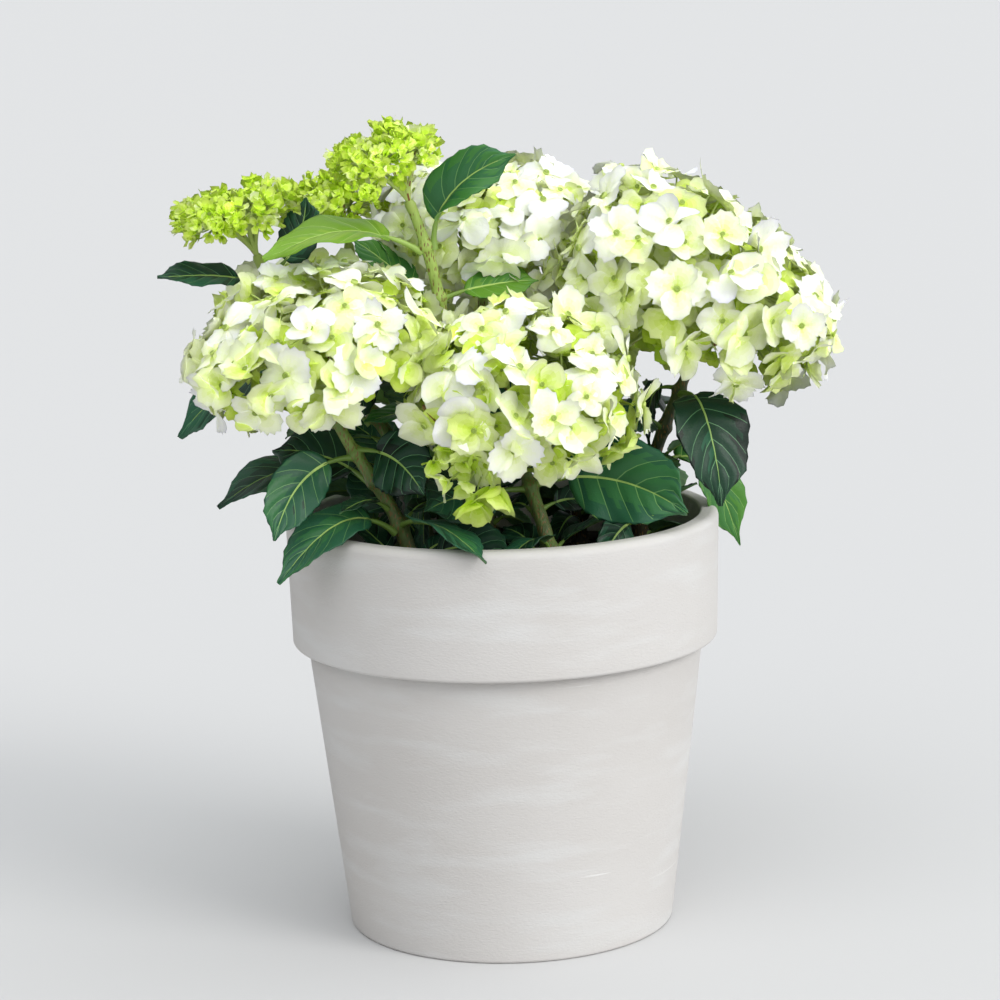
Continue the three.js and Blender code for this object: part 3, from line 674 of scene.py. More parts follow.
# %% The finishes of the leaves
LEAF_TINTS, VEIN_TINTS, RIB_TINTS, UNDER_TINTS, STALK_TINTS = 10, 4, 4, 3, 3
# The darkest stop is darker than a leaf's own green. It is partly painted shade for leaves deep
# inside the shrub.
LEAF_STOPS = [(6, 28, 16), (40, 92, 64), (62, 120, 46), (112, 154, 40), (142, 172, 52)]
leaf_finishes = (
    ramp("leaf", LEAF_STOPS, LEAF_TINTS, 0.42, (900, 0.00015), Specular_IOR_Level=0.32)
    + ramp("vein", [(84, 130, 88), (104, 150, 78), (154, 188, 88)], VEIN_TINTS, 0.5)
    + ramp("rib", [(120, 156, 80), (176, 204, 108)], RIB_TINTS, 0.5)
    + ramp("leaf_under", [(84, 122, 78), (142, 190, 66)], UNDER_TINTS, 0.6, (900, 0.0002))
    + ramp("leaf_stalk", [(104, 134, 54), (156, 184, 88)], STALK_TINTS, 0.45)
)
FIRST_VEIN = LEAF_TINTS
FIRST_RIB = FIRST_VEIN + VEIN_TINTS
FIRST_UNDER = FIRST_RIB + RIB_TINTS
FIRST_STALK = FIRST_UNDER + UNDER_TINTS
print(len(leaf_finishes), "finishes for the leaves")

# %% The rows of a blade
VEIN_WIDTH, VEIN_TAPER, FIRST_VEIN_AT, LAST_VEIN_AT = 0.011, 0.7, 0.08, 0.86
DRIP_START, DRIP_LENGTH, DRIP_DEPTH, FULLEST = 0.8, 0.16, 0.66, 0.4862


def full_outline(s):
    """The outline for a close view: fuller than the solid's, with a short drawn-out tip."""
    drip = np.clip((s - DRIP_START) / DRIP_LENGTH, 0, 1)
    drawn_out = 1 - DRIP_DEPTH * drip ** 2 * (3 - 2 * drip)
    return s ** 0.46 * (1 - s) ** 0.58 * drawn_out / FULLEST


def blade_rows(veins, between_veins, wide):
    """For each row and column the share along the midrib, the swell, and where teeth are."""
    edges = np.array([0, *np.linspace(FIRST_VEIN_AT, LAST_VEIN_AT, veins), 1])[:, None, None]
    part = np.linspace(0, 1, between_veins)[:, None]
    vein = VEIN_WIDTH / 2 * (1 - VEIN_TAPER * wide)
    rows = (edges[:-1] + vein) + (edges[1:] - edges[:-1] - 2 * vein) * part
    swell = np.sin(math.pi * part) + 0 * rows
    point = (np.arange(between_veins) % 2 == 0)[:, None] + 0 * rows
    return [values.reshape(-1, len(wide)) for values in (rows, swell, point)]


print("halfway along, a blade has", round(full_outline(0.5), 2), "of its full width")

# %% The tints of a blade
SPREAD = np.array([0, 0.05, 0.24, 0.44, 0.64, 0.82, 0.94, 1])


def blade_tints(rows, s, across, swell, fresh, phases, between_veins):
    """The tint of each face of a blade: lamina, veins, midrib, and a paler under side."""
    upper_columns = 2 * len(SPREAD) - 1
    face_row, face_side = np.meshgrid(np.arange(rows - 1), np.arange(len(across)), indexing="ij")
    on_vein = face_row % between_veins == between_veins - 1
    wide = np.abs(across + np.roll(across, -1)) / 2
    on_rib = wide < SPREAD[1]
    patch = np.sin(4 * s[:-1] + phases[1]) * np.cos(3 * across + phases[2])
    # Each panel is tinted lighter where the blade swells between two veins and darker in the
    # grooves beside them: painted light on the swells and painted shade in the grooves.
    lamina = fresh * (LEAF_TINTS - 1) + 0.6 * patch + 0.4 * swell[:-1]
    tints = np.clip(np.round(lamina), 0, LEAF_TINTS - 1)
    vein = FIRST_VEIN + np.clip(np.round(fresh * VEIN_TINTS - 0.3), 0, VEIN_TINTS - 1)
    rib = np.round((0.9 - s[:-1] + fresh) * RIB_TINTS / 1.5)
    rib = FIRST_RIB + np.clip(rib, 0, RIB_TINTS - 1)
    tints = np.where(on_vein & (wide < 0.9), vein, tints)
    tints = np.where(on_rib, np.where(s[:-1] < 0.85, rib, vein), tints)
    under = FIRST_UNDER + np.round(min(fresh, 1) * (UNDER_TINTS - 1))
    below = face_side >= upper_columns - 1
    return np.where(below, np.where(on_rib | on_vein, FIRST_STALK, under), tints)


print("a blade's net has", 4 * (len(SPREAD) - 1), "columns round its two sides")

# %% The net of a blade
VEIN_SWEEP, VEIN_BEND, TOOTH_REACH, TOOTH = 0.8, 0.8, 0.008, 0.0009
RIB_WIDTH, RIB_RIDGE, QUILT, BLADE_THICKNESS = 0.0007, 0.0009, 0.0011, 0.0005
WAVE, WAVES, SWAY, USUAL_HALF = 0.002, 2.2, 0.0012, 0.024


def blade(leaf, fresh, rng, veins=6, between_veins=5):
    """The closed net of one leaf blade, with the tint of each of its faces."""
    upper = np.concatenate([-SPREAD[:0:-1], SPREAD])
    across = np.concatenate([upper, upper[-2:0:-1]])
    top = np.arange(len(across)) < len(upper)
    wide = np.abs(across)
    rim = wide == 1
    rows, swell, point = blade_rows(veins, between_veins, wide)
    s = 1 - (1 - rows) ** (1 + VEIN_SWEEP * wide + VEIN_BEND * wide ** 2)
    s = np.clip(s + TOOTH_REACH * rim * point * (1 - rows), 0.003, 0.995)
    middle, right_way, out = blade_frame(leaf, s)
    half = leaf["half"] * full_outline(s)
    x = np.where(wide == SPREAD[1], np.minimum(RIB_WIDTH * (1.2 - s), SPREAD[2] * half / 2),
                 wide * half)
    tooth = TOOTH * (point - 0.5) * np.minimum(1, 2.5 * half / leaf["half"])
    x = np.sign(across) * (x + rim * tooth)
    size = leaf["half"] / USUAL_HALF
    quilt = QUILT * size * swell * np.sin(math.pi * np.minimum(wide * 1.02, 1)) ** 0.7
    phases = rng.uniform(0, 2 * math.pi, 3)
    wave = np.sin(2 * math.pi * WAVES * s + phases[0] + 2 * (across > 0))
    wave = WAVE * size * wide ** 2 * wave
    sway = SWAY * size * np.sin(5 * s + phases[1])
    skin = np.where(top, 1, -1) * np.where(rim, 0, BLADE_THICKNESS / 2)
    ridge = np.where(wide == 0, 1, np.where(wide == SPREAD[1], 0.4, 0)) * (1.1 - s)
    ridge = ridge * np.where(top, -0.3 * RIB_RIDGE, -RIB_RIDGE)
    z = quilt + wave + sway * (1 - wide) + skin + ridge
    fold = leaf.get("fold", 0) * (1 - s) + math.atan(BLADE_FOLD)
    z = z + np.sin(fold) * half * wide
    points = middle + right_way * (np.cos(fold) * x)[..., None] + out * z[..., None]
    tints = blade_tints(len(rows), s, across, swell, fresh, phases, between_veins)
    return nets(points[None], tints[None], closed=True)


print("a blade is", 1000 * BLADE_THICKNESS, "mm thick")

# %% The stalk of a leaf
STALK_RADII = np.interp(np.arange(10), [0, 2, 6, 9], [0.0026, 0.0017, 0.0014, 0.0007])


def stalk(leaf, fresh):
    """The stalk, from inside the swollen joint of the stem to the foot of the midrib."""
    line = on_curve(leaf, np.linspace(0, STALK_SHARE + 0.05, len(STALK_RADII) - 1))
    foot = line[0] - unit(line[1] - line[0]) * 0.003
    line = np.concatenate([foot[None], line])
    size = min(1, 0.5 + 7 * leaf["reach"])
    tint = FIRST_STALK + round(min(fresh, 1) * (STALK_TINTS - 1))
    return tubes(line[None], size * STALK_RADII[None], 8, tint)


print("a stalk is", round(2000 * STALK_RADII[2], 1), "mm thick behind its swollen foot")

# %% What the picture shows of single leaves
# How fresh the shown leaves are, two for each shown pair, from dark (0) to lime (1). The tones are
# partly painted light: leaves that catch the light or a sheen are set fresher, and leaves in shade
# darker.
SHOWN_TONES = [(0.24, 0.1), (0.12, 0.1), (0.08, 0.05), (0.44, 0.1), (0.1, 0.1), (0.26, 0.22),
               (0.22, 0.04), (0.34, 0.8), (0.5, 0.6), (0.14, 0.12), (0.2, 0.1), (0.1, 0.1)]
# Leaves that the picture shows turned or folded on their midrib, in degrees
TURNED_LEAVES = [(3, 0, {"twist": 70}), (7, 0, {"roll": 47, "fold": 30, "twist": 36}),
                 (8, 1, {"roll": 40})]
for number, side, angles in TURNED_LEAVES:
    leaf = pairs[number]["leaves"][side]
    leaf.update((kind, math.radians(angle)) for kind, angle in angles.items())

# The leaf beside the highest young head bends further over, and two blades differ in width
high_leaf, short_leaf = pairs[7]["leaves"][0], pairs[8]["leaves"][1]
start, bend, tip = high_leaf["curve"]
high_leaf["curve"] = (start, bend + np.array([-0.021, 0.002, 0.004]),
                      tip + np.array([0, 0.003, -0.004]))
high_leaf["half"] *= 0.85
short_leaf["half"] *= 1.3
for pair, tones in zip(pairs, SHOWN_TONES):
    for leaf, tone in zip(pair["leaves"], tones):
        leaf["fresh"] = tone
print(len(TURNED_LEAVES), "leaves are turned after the picture")

# %% All the leaves
YOUNG_FRESH, FRESH_SPREAD, TONE_NOISE = 0.34, 0.14, 0.02
for name, stem in stems.items():
    own = sorted((pair for pair in pairs if pair["stem"] is stem), key=lambda pair: pair["up"])
    rng = np.random.default_rng(40 + stem["row"])
    parts = []
    for pair in own:
        # Leaves of the older stems start at the darkest tone: partly their own dark green, partly
        # painted shade inside the shrub.
        base = YOUNG_FRESH * min(1, 0.3 + pair["up"]) if stem["young"] else 0
        for leaf in pair["leaves"]:
            tone = leaf.get("fresh", base + rng.uniform(0, FRESH_SPREAD))
            tone = max(0, tone + rng.normal(0, TONE_NOISE))
            parts += [blade(leaf, tone, rng), stalk(leaf, tone)]
    for small in small_leaves:
        if small["stem"] is stem:
            # Small leaves take dark tones: partly their own green, partly painted shade in the
            # middle of the shrub.
            tone = rng.uniform(0, FRESH_SPREAD)
            parts += [blade(small["leaf"], tone, rng, 5, 4), stalk(small["leaf"], tone)]
    nodes = [f"leaves_{name}_{i + 1}" for i in range(len(own))]
    piece(f"foliage_{name}", parts, leaf_finishes, nodes)
print("leaf triangles:", sum(n for name, n in triangle_counts.items() if "foliage" in name))

# %% [markdown]
# ## Green stems with a woody foot
#
# A hydrangea cane is green and flecked with brown, swells where each pair of leaves joins
# it, and turns to bark towards the ground. The CAD stem has six flat sides. Its smooth
# curve is known, so a finer tube is swept along it, with shallow ribs, a swelling at each
# pair of leaves and the flare at its foot. Colour that changes with height can come from
# nodes here, because a stem is one simple surface.

# %% The finish of the stems
BARK_TO_GREEN, UNEVENNESS = (0.29, 0.46), 0.16
FLECK, FLECK_CELLS, FLECK_EDGE = (120, 92, 50), 560, (0.4, 0.26)


def cane_finish(name, low, halfway, high):
    """Green above, brown bark below, with dark flecks that run along the cane."""
    made = finish(name, halfway, 0.55)
    tree = made.node_tree
    place = node(tree, "TexCoord").outputs["Object"]
    height = node(tree, "SeparateXYZ", {"Vector": place}).outputs["Z"]
    cloud = node(tree, "TexNoise", {"Vector": place}, Scale=60).outputs["Fac"]
    lift = node(tree, "Math", {0: cloud, 2: height}, {"operation": "MULTIPLY_ADD"})
    lift.inputs[1].default_value = UNEVENNESS
    share = stepped(tree, lift.outputs[0], *BARK_TO_GREEN)
    green = node(tree, "ValToRGB", {"Fac": share})
    green.color_ramp.elements[0].color = linear(low)
    green.color_ramp.elements[1].color = linear(high)
    green.color_ramp.elements.new(0.45).color = linear(halfway)
    long = node(tree, "Mapping", {"Vector": place}, Scale=(1.5, 1.5, 0.4)).outputs["Vector"]
    cells = node(tree, "TexVoronoi", {"Vector": long}, Scale=FLECK_CELLS).outputs["Distance"]
    flecked = mixed(tree, stepped(tree, cells, *FLECK_EDGE), green.outputs["Color"], FLECK)
    tree.links.new(flecked, tree.nodes["Principled BSDF"].inputs["Base Color"])
    raised(tree, cells, 0.0004)
    return made


green_cane = cane_finish("green_cane", (66, 76, 40), (98, 124, 52), (158, 182, 88))
woody_cane = cane_finish("woody_cane", (52, 46, 32), (60, 66, 38), (92, 106, 56))
print("the canes turn from bark to green between", *BARK_TO_GREEN, "m")

# %% All the stems
STEM_RINGS, STEM_SIDES = 90, 20
JOINT_SWELL, JOINT_LENGTH, RIB_DEPTH, RING_DEPTH = 0.0016, 0.0032, 0.035, 0.02
WOODY = ("right", "back_right")
for name, stem in stems.items():
    shares = np.linspace(0, 1, STEM_RINGS)
    line = stem_curve(stem, shares)
    length = np.linalg.norm(np.diff(line, axis=0), axis=1).sum()
    radii = stem_radius(shares)
    for pair in pairs:
        if pair["stem"] is stem:
            from_joint = (shares - pair["up"]) * length / JOINT_LENGTH
            radii = radii + JOINT_SWELL * np.exp(-from_joint ** 2)
    angles = np.arange(STEM_SIDES) * 2 * math.pi / STEM_SIDES
    ribs = RIB_DEPTH * np.cos(6 * angles + stem["row"])
    ribs = 1 + ribs + RING_DEPTH * np.sin(9 * shares * 7)[:, None]
    points, faces, tints = tubes(line[None], radii[None], STEM_SIDES)
    points = points.reshape(STEM_RINGS, STEM_SIDES, 3)
    points = line[:, None] + (points - line[:, None]) * ribs[..., None]
    piece(f"cane_{name}", [(points.reshape(-1, 3), faces, tints)],
          [woody_cane if name in WOODY else green_cane], [f"stem_{name}"])
print("stem triangles:", sum(n for name, n in triangle_counts.items() if "cane" in name))

# %% [markdown]
# ## Where the florets sit
#
# What looks like a petal on a hydrangea is a sepal, and four of them make a floret. Florets
# crowd over the dome of a head. Nature packs such a dome by the golden angle, and so does the
# source: each floret stands a fixed turn on from the last one. A dome could be covered by
# hand or by chance, but neither packs it as evenly. The same rule is run again for three
# layers, of which the outer one has the source's own florets. The two below it are smaller,
# greener and set deeper, and fill the gaps as the real ones do. Part of their green is
# painted light: a lime tint that stands for light shining through the sepals in the head's
# shade.

# %% The rule for the florets
GOLDEN_ANGLE = math.pi * (3 - math.sqrt(5))
FLORET_RADIUS, YOUNG_FLORET_RADIUS = 0.017, 0.0104
REACH_SPREAD, FACE_SPREAD, FACE_LIFT, SMALLEST, SIZE_SPREAD = 0.1, 0.4, 0.12, 0.88, 0.24

# A real dome is a little boxier than a ball: its rings of florets are wider near the top.
BOXY = 0.8

# How a head has settled: a shift, a share of its breadth and of its height, how far its top
# leans to the left, and how far its right side droops.
SETTLED = {"middle": ((0.007, -0.004, 0.001), 1.11, 0.93, 0, 0),
           "right": ((-0.003, 0, 0.002), 1, 1, 0.24, 0.2),
           "front_middle": ((0.001, 0, 0.003), 1, 0.8, 0, 0),
           "front_left": ((0.002, 0, 0.001), 1, 0.95, 0, 0),
           "young_top": ((-0.002, 0, 0.002), 0.9, 0.8, 0, 0),
           "young_left": ((0, 0, -0.002), 1, 0.7, 0, 0)}
AS_GROWN = ((0, 0, 0), 1, 1, 0, 0)


def florets(stem, radius, seed, cover, depth):
    """The florets of one layer: their middles, the ways they face, radii, spins and rises."""
    draw = seeded(seed)
    shift, broader = SETTLED.get(stem["name"], AS_GROWN)[:2]
    side, back = square(stem["axis"])
    across = stem["across"] * broader
    count = round(cover * across * (across + stem["deep"]) / radius ** 2)
    draws = np.array([[draw() for _ in range(5)] for _ in range(count)])
    rise = 1 + (stem["under"] - 1) * (np.arange(count) + 0.5) / count
    turn = np.arange(count) * GOLDEN_ANGLE + seed
    reach = (depth * (1 - REACH_SPREAD * draws[:, 0]))[:, None]
    around = side * np.cos(turn)[:, None] + back * np.sin(turn)[:, None]
    rise = rise[:, None]
    ring = np.sqrt(1 - rise ** 2)
    middle = (stem["middle"] + np.array(shift)
              + around * ring ** BOXY * across * reach
              + stem["axis"] * stem["deep"] * rise * reach)
    faces = unit(around * ring / stem["across"] + stem["axis"] * rise / stem["deep"])
    faces = unit(faces + side * FACE_SPREAD * (draws[:, 1:2] - 0.5)
                 + back * FACE_SPREAD * (draws[:, 2:3] - 0.5) + stem["axis"] * FACE_LIFT)
    radii = radius * (SMALLEST + SIZE_SPREAD * draws[:, 3])
    return {"middle": middle, "faces": faces, "radius": radii, "spin": draws[:, 4] * math.pi,
            "rise": rise[:, 0]}


print("the golden angle is", round(math.degrees(GOLDEN_ANGLE), 1), "degrees")

# %% [markdown]
# ## Heads that meet, lean and droop
#
# No real head is a neat dome. Where two of them meet, the florets share the room between
# them, and none grows through a stem. The weight of the sepals makes a head lean or droop,
# and the heads in the picture are flatter than they are broad. A lattice could bend a
# finished head, but it would bend each floret too. Here only the middles of the florets are
# moved, and each floret keeps its own shape.

# %% Florets that keep clear, and heads that settle
STEM_ROOM, DRAWN_IN, ATTEMPTS = 0.011, 0.08, 5
UNDERSIDE, YOUNG_UNDERSIDE = 0.9, 0.4


def kept_clear(stem, layer):
    """Draws florets in, or leaves them out, where they are nearer to another head or stem."""
    others = [other for other in stems.values() if other is not stem]
    for attempt in range(ATTEMPTS):
        middle = layer["middle"]
        own = within(stem, middle)
        clear = np.all([within(other, middle) > own for other in others], 0)
        if attempt < ATTEMPTS - 1:
            step = np.where(clear, 0, DRAWN_IN)[:, None]
            layer["middle"] = middle + (stem["middle"] - middle) * step
    room = STEM_ROOM * layer["radius"] / FLORET_RADIUS
    clear &= np.all([to_stem(other, layer["middle"]) > room for other in others], 0)
    return {key: values[clear] for key, values in layer.items()}


def settled(stem, middle):
    """Points of a head as it has settled: flatter, above all beneath, leant and drooping."""
    flatter, lean, droop = SETTLED.get(stem["name"], AS_GROWN)[2:]
    x, y, z = (middle - stem["middle"]).T
    z = z * flatter * np.where(z < 0, YOUNG_UNDERSIDE if stem["young"] else UNDERSIDE, 1)
    x, z = (x - lean * np.maximum(z, 0) * (1 + x / stem["across"]),
            z - droop * np.maximum(x, 0) ** 2 / stem["across"])
    return stem["middle"] + np.stack([x, y, z], -1)


print(len(SETTLED), "heads have settled in a way of their own")

# %% The layers of florets on each head
# radius as a share of the floret's, cover, depth in the head, added youth (partly painted light:
# the lime of light through the sepals in the head's shade)
LAYERS = ((1, 0.88, 0.97, 0), (0.84, 1.1, 0.91, 0.17), (0.6, 0.95, 0.8, 0.38))
SEED_STEP, DEEPEST = 1000, 2
TURNED, TURNED_BELOW, WITHERED, YOUTH_SPREAD = 0.24, 0.5, 0.02, 0.07

# How young some heads look in the picture, and how much limier their lowest florets are: partly
# younger florets, partly painted shade under the head, tinted lime like light through the sepals
YOUTHS = {"right": 0.1, "front_middle": 0.15, "middle": 0.02}
LOW_YOUTHS_AND_SHADE, OTHER_LOW_YOUTH_AND_SHADE = {"front_middle": 0.26, "middle": 0.1}, 0.18

for name, stem in stems.items():
    radius = YOUNG_FLORET_RADIUS if stem["young"] else FLORET_RADIUS
    stem["layers"] = []
    for i, (share, cover, depth, younger_and_shaded) in enumerate(LAYERS[:1 if stem["young"] else 3]):
        seed = stem["row"] + 1 + i * SEED_STEP
        layer = kept_clear(stem, florets(stem, radius * share, seed, cover, depth))
        layer["middle"] = settled(stem, layer["middle"])
        rng = np.random.default_rng(seed)
        low = (1 - layer["rise"]) / (1 - stem["under"])
        base = YOUTHS.get(name, stem["youth"])
        # The lowest florets and the deeper layers are tinted limier: partly younger florets, partly
        # painted light for light shining through the sepals in the head's shade.
        lower = LOW_YOUTHS_AND_SHADE.get(name, OTHER_LOW_YOUTH_AND_SHADE) * low ** 2
        layer["youth"] = base + younger_and_shaded + lower + rng.normal(0, YOUTH_SPREAD, len(low))
        turned = rng.normal(0, TURNED * (1 + TURNED_BELOW * i), layer["faces"].shape)
        layer["faces"] = unit(layer["faces"] + turned)
        layer["withered"] = rng.uniform(0, 1, len(low)) < (WITHERED if i == DEEPEST else 0)
        stem["layers"].append(layer)
print("florets:", {name: [len(layer["rise"]) for layer in stem["layers"]]
                   for name, stem in stems.items()})

# %% Late florets
# The latest florets of the front head hang under it, still narrow and lime-green.
LATE, LATE_PLACE, LATE_REACH = 15, np.array([-0.026, -0.028, -0.03]), 0.024
LATE_WAY, LATE_WAY_SPREAD, LATE_YOUTHS = (-0.3, -0.6, -0.6), 0.3, (0.36, 0.58)
LOWEST_UNDER, LOWEST_RADIUS, LATE_RADIUS = -0.014, 0.017, 0.0125

late_stem, rng = stems["front_middle"], np.random.default_rng(90)
turn = np.arange(LATE) * GOLDEN_ANGLE + 1
reach = LATE_REACH * np.sqrt((np.arange(LATE) + 0.4) / LATE)
hang = np.stack([np.cos(turn), 0.5 * np.sin(turn), np.sin(turn)], -1) * reach[:, None]
late = {"middle": late_stem["middle"] + LATE_PLACE + hang,
        "faces": unit(rng.normal(LATE_WAY, LATE_WAY_SPREAD, (LATE, 3))),
        "radius": (np.where(hang[:, 2] < LOWEST_UNDER, LOWEST_RADIUS, LATE_RADIUS)
                   * rng.uniform(0.85, 1.1, LATE)),
        "spin": rng.uniform(0, math.pi, LATE), "youth": rng.uniform(*LATE_YOUTHS, LATE)}
print(LATE, "late florets")

# %% [markdown]
# ## Sepals that cup, curl and overlap
#
# A sepal is a thin, broad fan, a little cupped, with a wavy and sometimes toothed edge. It
# could be drawn once and copied, but copies show at once in a close view. Here each one gets
# its own tilt, roll, curl, wave and size from seeded numbers. Opposite pairs lie over each
# other, so each second sepal sits a little lower. The sepals of a floret that looks up sag
# outwards. The faces grow greener towards the foot of a sepal, where its vein and its young
# green tissue are, and a few of the deepest florets have withered to brown.

# %% The finishes of the sepals
SEPAL_TINTS = 20
# The deeper lime stops carry little blue. This is partly the sepals' own lime and partly painted
# light, since lime in a head's shade stands for light shining through the sepals.
SEPAL_STOPS = [(232, 233, 229), (235, 237, 222), (233, 238, 204), (222, 232, 164),
               (206, 224, 112), (192, 216, 70), (170, 200, 44), (144, 180, 32)]
sepal_finishes = ramp("sepal", SEPAL_STOPS, SEPAL_TINTS, 0.6, (700, 0.0002),
                      Specular_IOR_Level=0.3, Subsurface_Weight=0.8, Subsurface_Scale=0.007,
                      Subsurface_Radius=(0.9, 1, 0.45))
for made in sepal_finishes:
    made.node_tree.nodes["Principled BSDF"].subsurface_method = "BURLEY"
sepal_finishes += [finish("withered", (156, 134, 72), 0.8),
                   finish("withered_dark", (122, 96, 52), 0.8)]
print(SEPAL_TINTS, "tints from white to lime, and two for withered sepals")

# %% The edge of a sepal
# u runs from side to side of a sepal, from -1 to 1, and v from its foot to its edge.
HALF_FAN, FAN_FOOT, FAN_CURVE = math.radians(68), 0.06, 0.93
TOOTHED_SHARE, TOOTH_DEPTHS, PLAIN_EDGE = 0.6, (0.03, 0.08), 0.012
FAN_POWERS, POWER_SPREAD, LOPSIDED = (0.75, 1.45), 0.12, 0.09


def each(values):
    """One value for each sepal, laid out so that it goes for all points of its net."""
    return np.asarray(values)[:, None, None]


def both(rng, count, floret, sepal):
    """A value that the sepals of a floret share, with a little of each one's own."""
    return each(np.repeat(rng.normal(0, floret, count), 4) + rng.normal(0, sepal, 4 * count))


def fan_reach(u, v, radius, phase, narrow, rng):
    """How far the points of each sepal are from its foot, with lobes and a toothed edge."""
    many, columns = len(radius), u.shape[-1]
    count = many // 4
    teeth = 0.5 * rng.uniform(-1, 1, (many, 1, columns)) + 0.7 * (-1.0) ** np.arange(columns)
    teeth = teeth * (np.abs(u) < 0.95) * (v == 1)
    toothed = np.repeat(rng.uniform(0, 1, count) < TOOTHED_SHARE, 4)
    teeth = teeth * each(np.where(toothed, rng.uniform(*TOOTH_DEPTHS, many), PLAIN_EDGE))
    lobes = (0.035 * np.sin(3.2 * u + phase[0]) + 0.025 * np.sin(6.5 * u + phase[1])) * v ** 2
    power = np.repeat(rng.uniform(*FAN_POWERS, count), 4) + rng.normal(0, POWER_SPREAD, many)
    lopsided = 1 + both(rng, count, 0, LOPSIDED) * u
    narrowed = np.cos(FAN_CURVE * (u * HALF_FAN)) ** (each(power) * narrow)
    return radius * v * lopsided * (narrowed + teeth + lobes)


print("a sepal opens over", round(2 * math.degrees(HALF_FAN)), "degrees at its foot")

# %% The curl and the tints of a sepal
SWINGS, PLEATS, FOLDS = (0.03, 0.15), (0.01, 0.05), (0.04, 0.1)
CUP_SHARES, DROOPS = (0.3, 1.4), (0, 0.12)
CREASE, FINE_PLEATS, OVERLAP, CUP_WITH_YOUTH, ROLLS = 0.035, 0.012, 0.035, 0.3, (0.1, 0.13)
VEIN_GREENER, TONE_SPREAD, TINT_SPREAD, WITHERED_EDGE = 0.07, 0.05, 0.3, 0.7


def fan_height(x, y, u, v, radius, youth, slope, phase, cup, rng):
    """How far the points of each sepal stand out of its floret, with its curls and pleats."""
    many = len(radius)
    swing = np.sin(u * 4.4 + phase[2]) * each(rng.uniform(*SWINGS, many)) * radius * v ** 2
    crease = -CREASE * radius * np.exp(-(u / 0.14) ** 2) * v
    pleats = each(rng.uniform(*PLEATS, many)) * radius * np.sin(u * 9.5 + phase[3]) * v ** 2
    pleats = pleats + FINE_PLEATS * radius * np.cos(u * 19) * v
    folded = each(rng.normal(*FOLDS, many)) * np.abs(x)
    cupped = each(rng.uniform(*CUP_SHARES, many))
    cupped = (cup + CUP_WITH_YOUTH * youth) * cupped * x ** 2 / radius
    drooping = -each(rng.uniform(*DROOPS, many)) * (1 - youth) * v ** 4 * radius
    sunk = each(np.tile([0, -1], many // 2)) * OVERLAP * radius
    return (y * np.sin(slope) + swing + crease + pleats + folded + cupped + drooping + sunk
            + both(rng, many // 4, *ROLLS) * x)


def fan_tints(u, v, youth, greener, withered, rng):
    """The tint of each face of each sepal, greener at its foot and along its vein."""
    many = len(youth)
    v, u = (v[:, 1:] + v[:, :-1]) / 2, (u[..., 1:] + u[..., :-1]) / 2
    tone = youth + each(rng.normal(0, TONE_SPREAD, many)) + greener * (1 - v) ** 1.8
    tone = tone + VEIN_GREENER * np.exp(-(u / 0.16) ** 2) * (1 - v)
    tone = tone + each(rng.normal(0, TONE_SPREAD, many)) * u * v
    tones = tone * (SEPAL_TINTS - 1) + rng.uniform(-TINT_SPREAD, TINT_SPREAD, tone.shape)
    tones = np.clip(np.round(tones), 0, SEPAL_TINTS - 1)
    return np.where(withered, SEPAL_TINTS + (v > WITHERED_EDGE), tones)


print("a sepal swings by up to", round(100 * SWINGS[1]), "percent of its length")

# %% Four sepals for each floret
SPIN_SPREAD, RADIUS_SPREAD = 0.1, (0.9, 1.1)
SLOPE_WITH_YOUTH, SLOPE_SPREAD, CURL_SPREAD = 0.45, (0.14, 0.15), (0.1, 0.26)


def sepals(layer, rows, columns, rng, cup=0.1, tilt=0.1, greener=0.3, narrow=1.0, sag=0.3):
    """Four sepals for each floret of a layer, as nets with a tint for each face."""
    count = len(layer["radius"])
    side, back = square(layer["faces"])
    spin = layer["spin"][:, None] + np.arange(4) * math.pi / 2
    spin = spin + rng.normal(0, SPIN_SPREAD, (count, 4))
    out = side[:, None] * np.cos(spin)[..., None] + back[:, None] * np.sin(spin)[..., None]
    out, face = out.reshape(-1, 3), np.repeat(layer["faces"], 4, 0)
    across = np.cross(out, face)
    radius = each(np.repeat(layer["radius"], 4) * rng.uniform(*RADIUS_SPREAD, 4 * count))
    youth = each(np.repeat(np.clip(layer["youth"], 0, 1), 4))
    u = np.linspace(-1, 1, columns)[None, None, :]
    v = np.linspace(FAN_FOOT, 1, rows)[None, :, None]
    phase = rng.uniform(0, 2 * math.pi, (4, 4 * count, 1, 1))
    reach = fan_reach(u, v, radius, phase, narrow, rng)
    x, y = reach * np.sin(u * HALF_FAN), reach * np.cos(u * HALF_FAN)
    slope = tilt + SLOPE_WITH_YOUTH * youth + both(rng, count, *SLOPE_SPREAD)
    slope = slope + both(rng, count, *CURL_SPREAD) * y / (2 * radius)
    slope = slope - sag * np.maximum(face[:, 2], 0)[:, None, None]
    z = fan_height(x, y, u, v, radius, youth, slope, phase, cup, rng)
    middle = np.repeat(layer["middle"], 4, 0)[:, None, None]
    points = (middle + across[:, None, None] * x[..., None]
              + out[:, None, None] * (y * np.cos(slope))[..., None]
              + face[:, None, None] * z[..., None])
    withered = each(np.repeat(layer.get("withered", np.zeros(count, bool)), 4))
    return nets(points, fan_tints(u, v, youth, greener, withered, rng))


print("each sepal has its own size, between", *RADIUS_SPREAD, "of its floret's radius")

# %% The eye of a floret
EYE_RADII = np.array([0.0012, 0.0019, 0.0017, 0.001, 0.0002])
EYE_HEIGHTS = np.array([-0.0006, 0.0003, 0.0014, 0.0017, 0.0012])
EYE_TINTS = [0, 0, 1, 1]


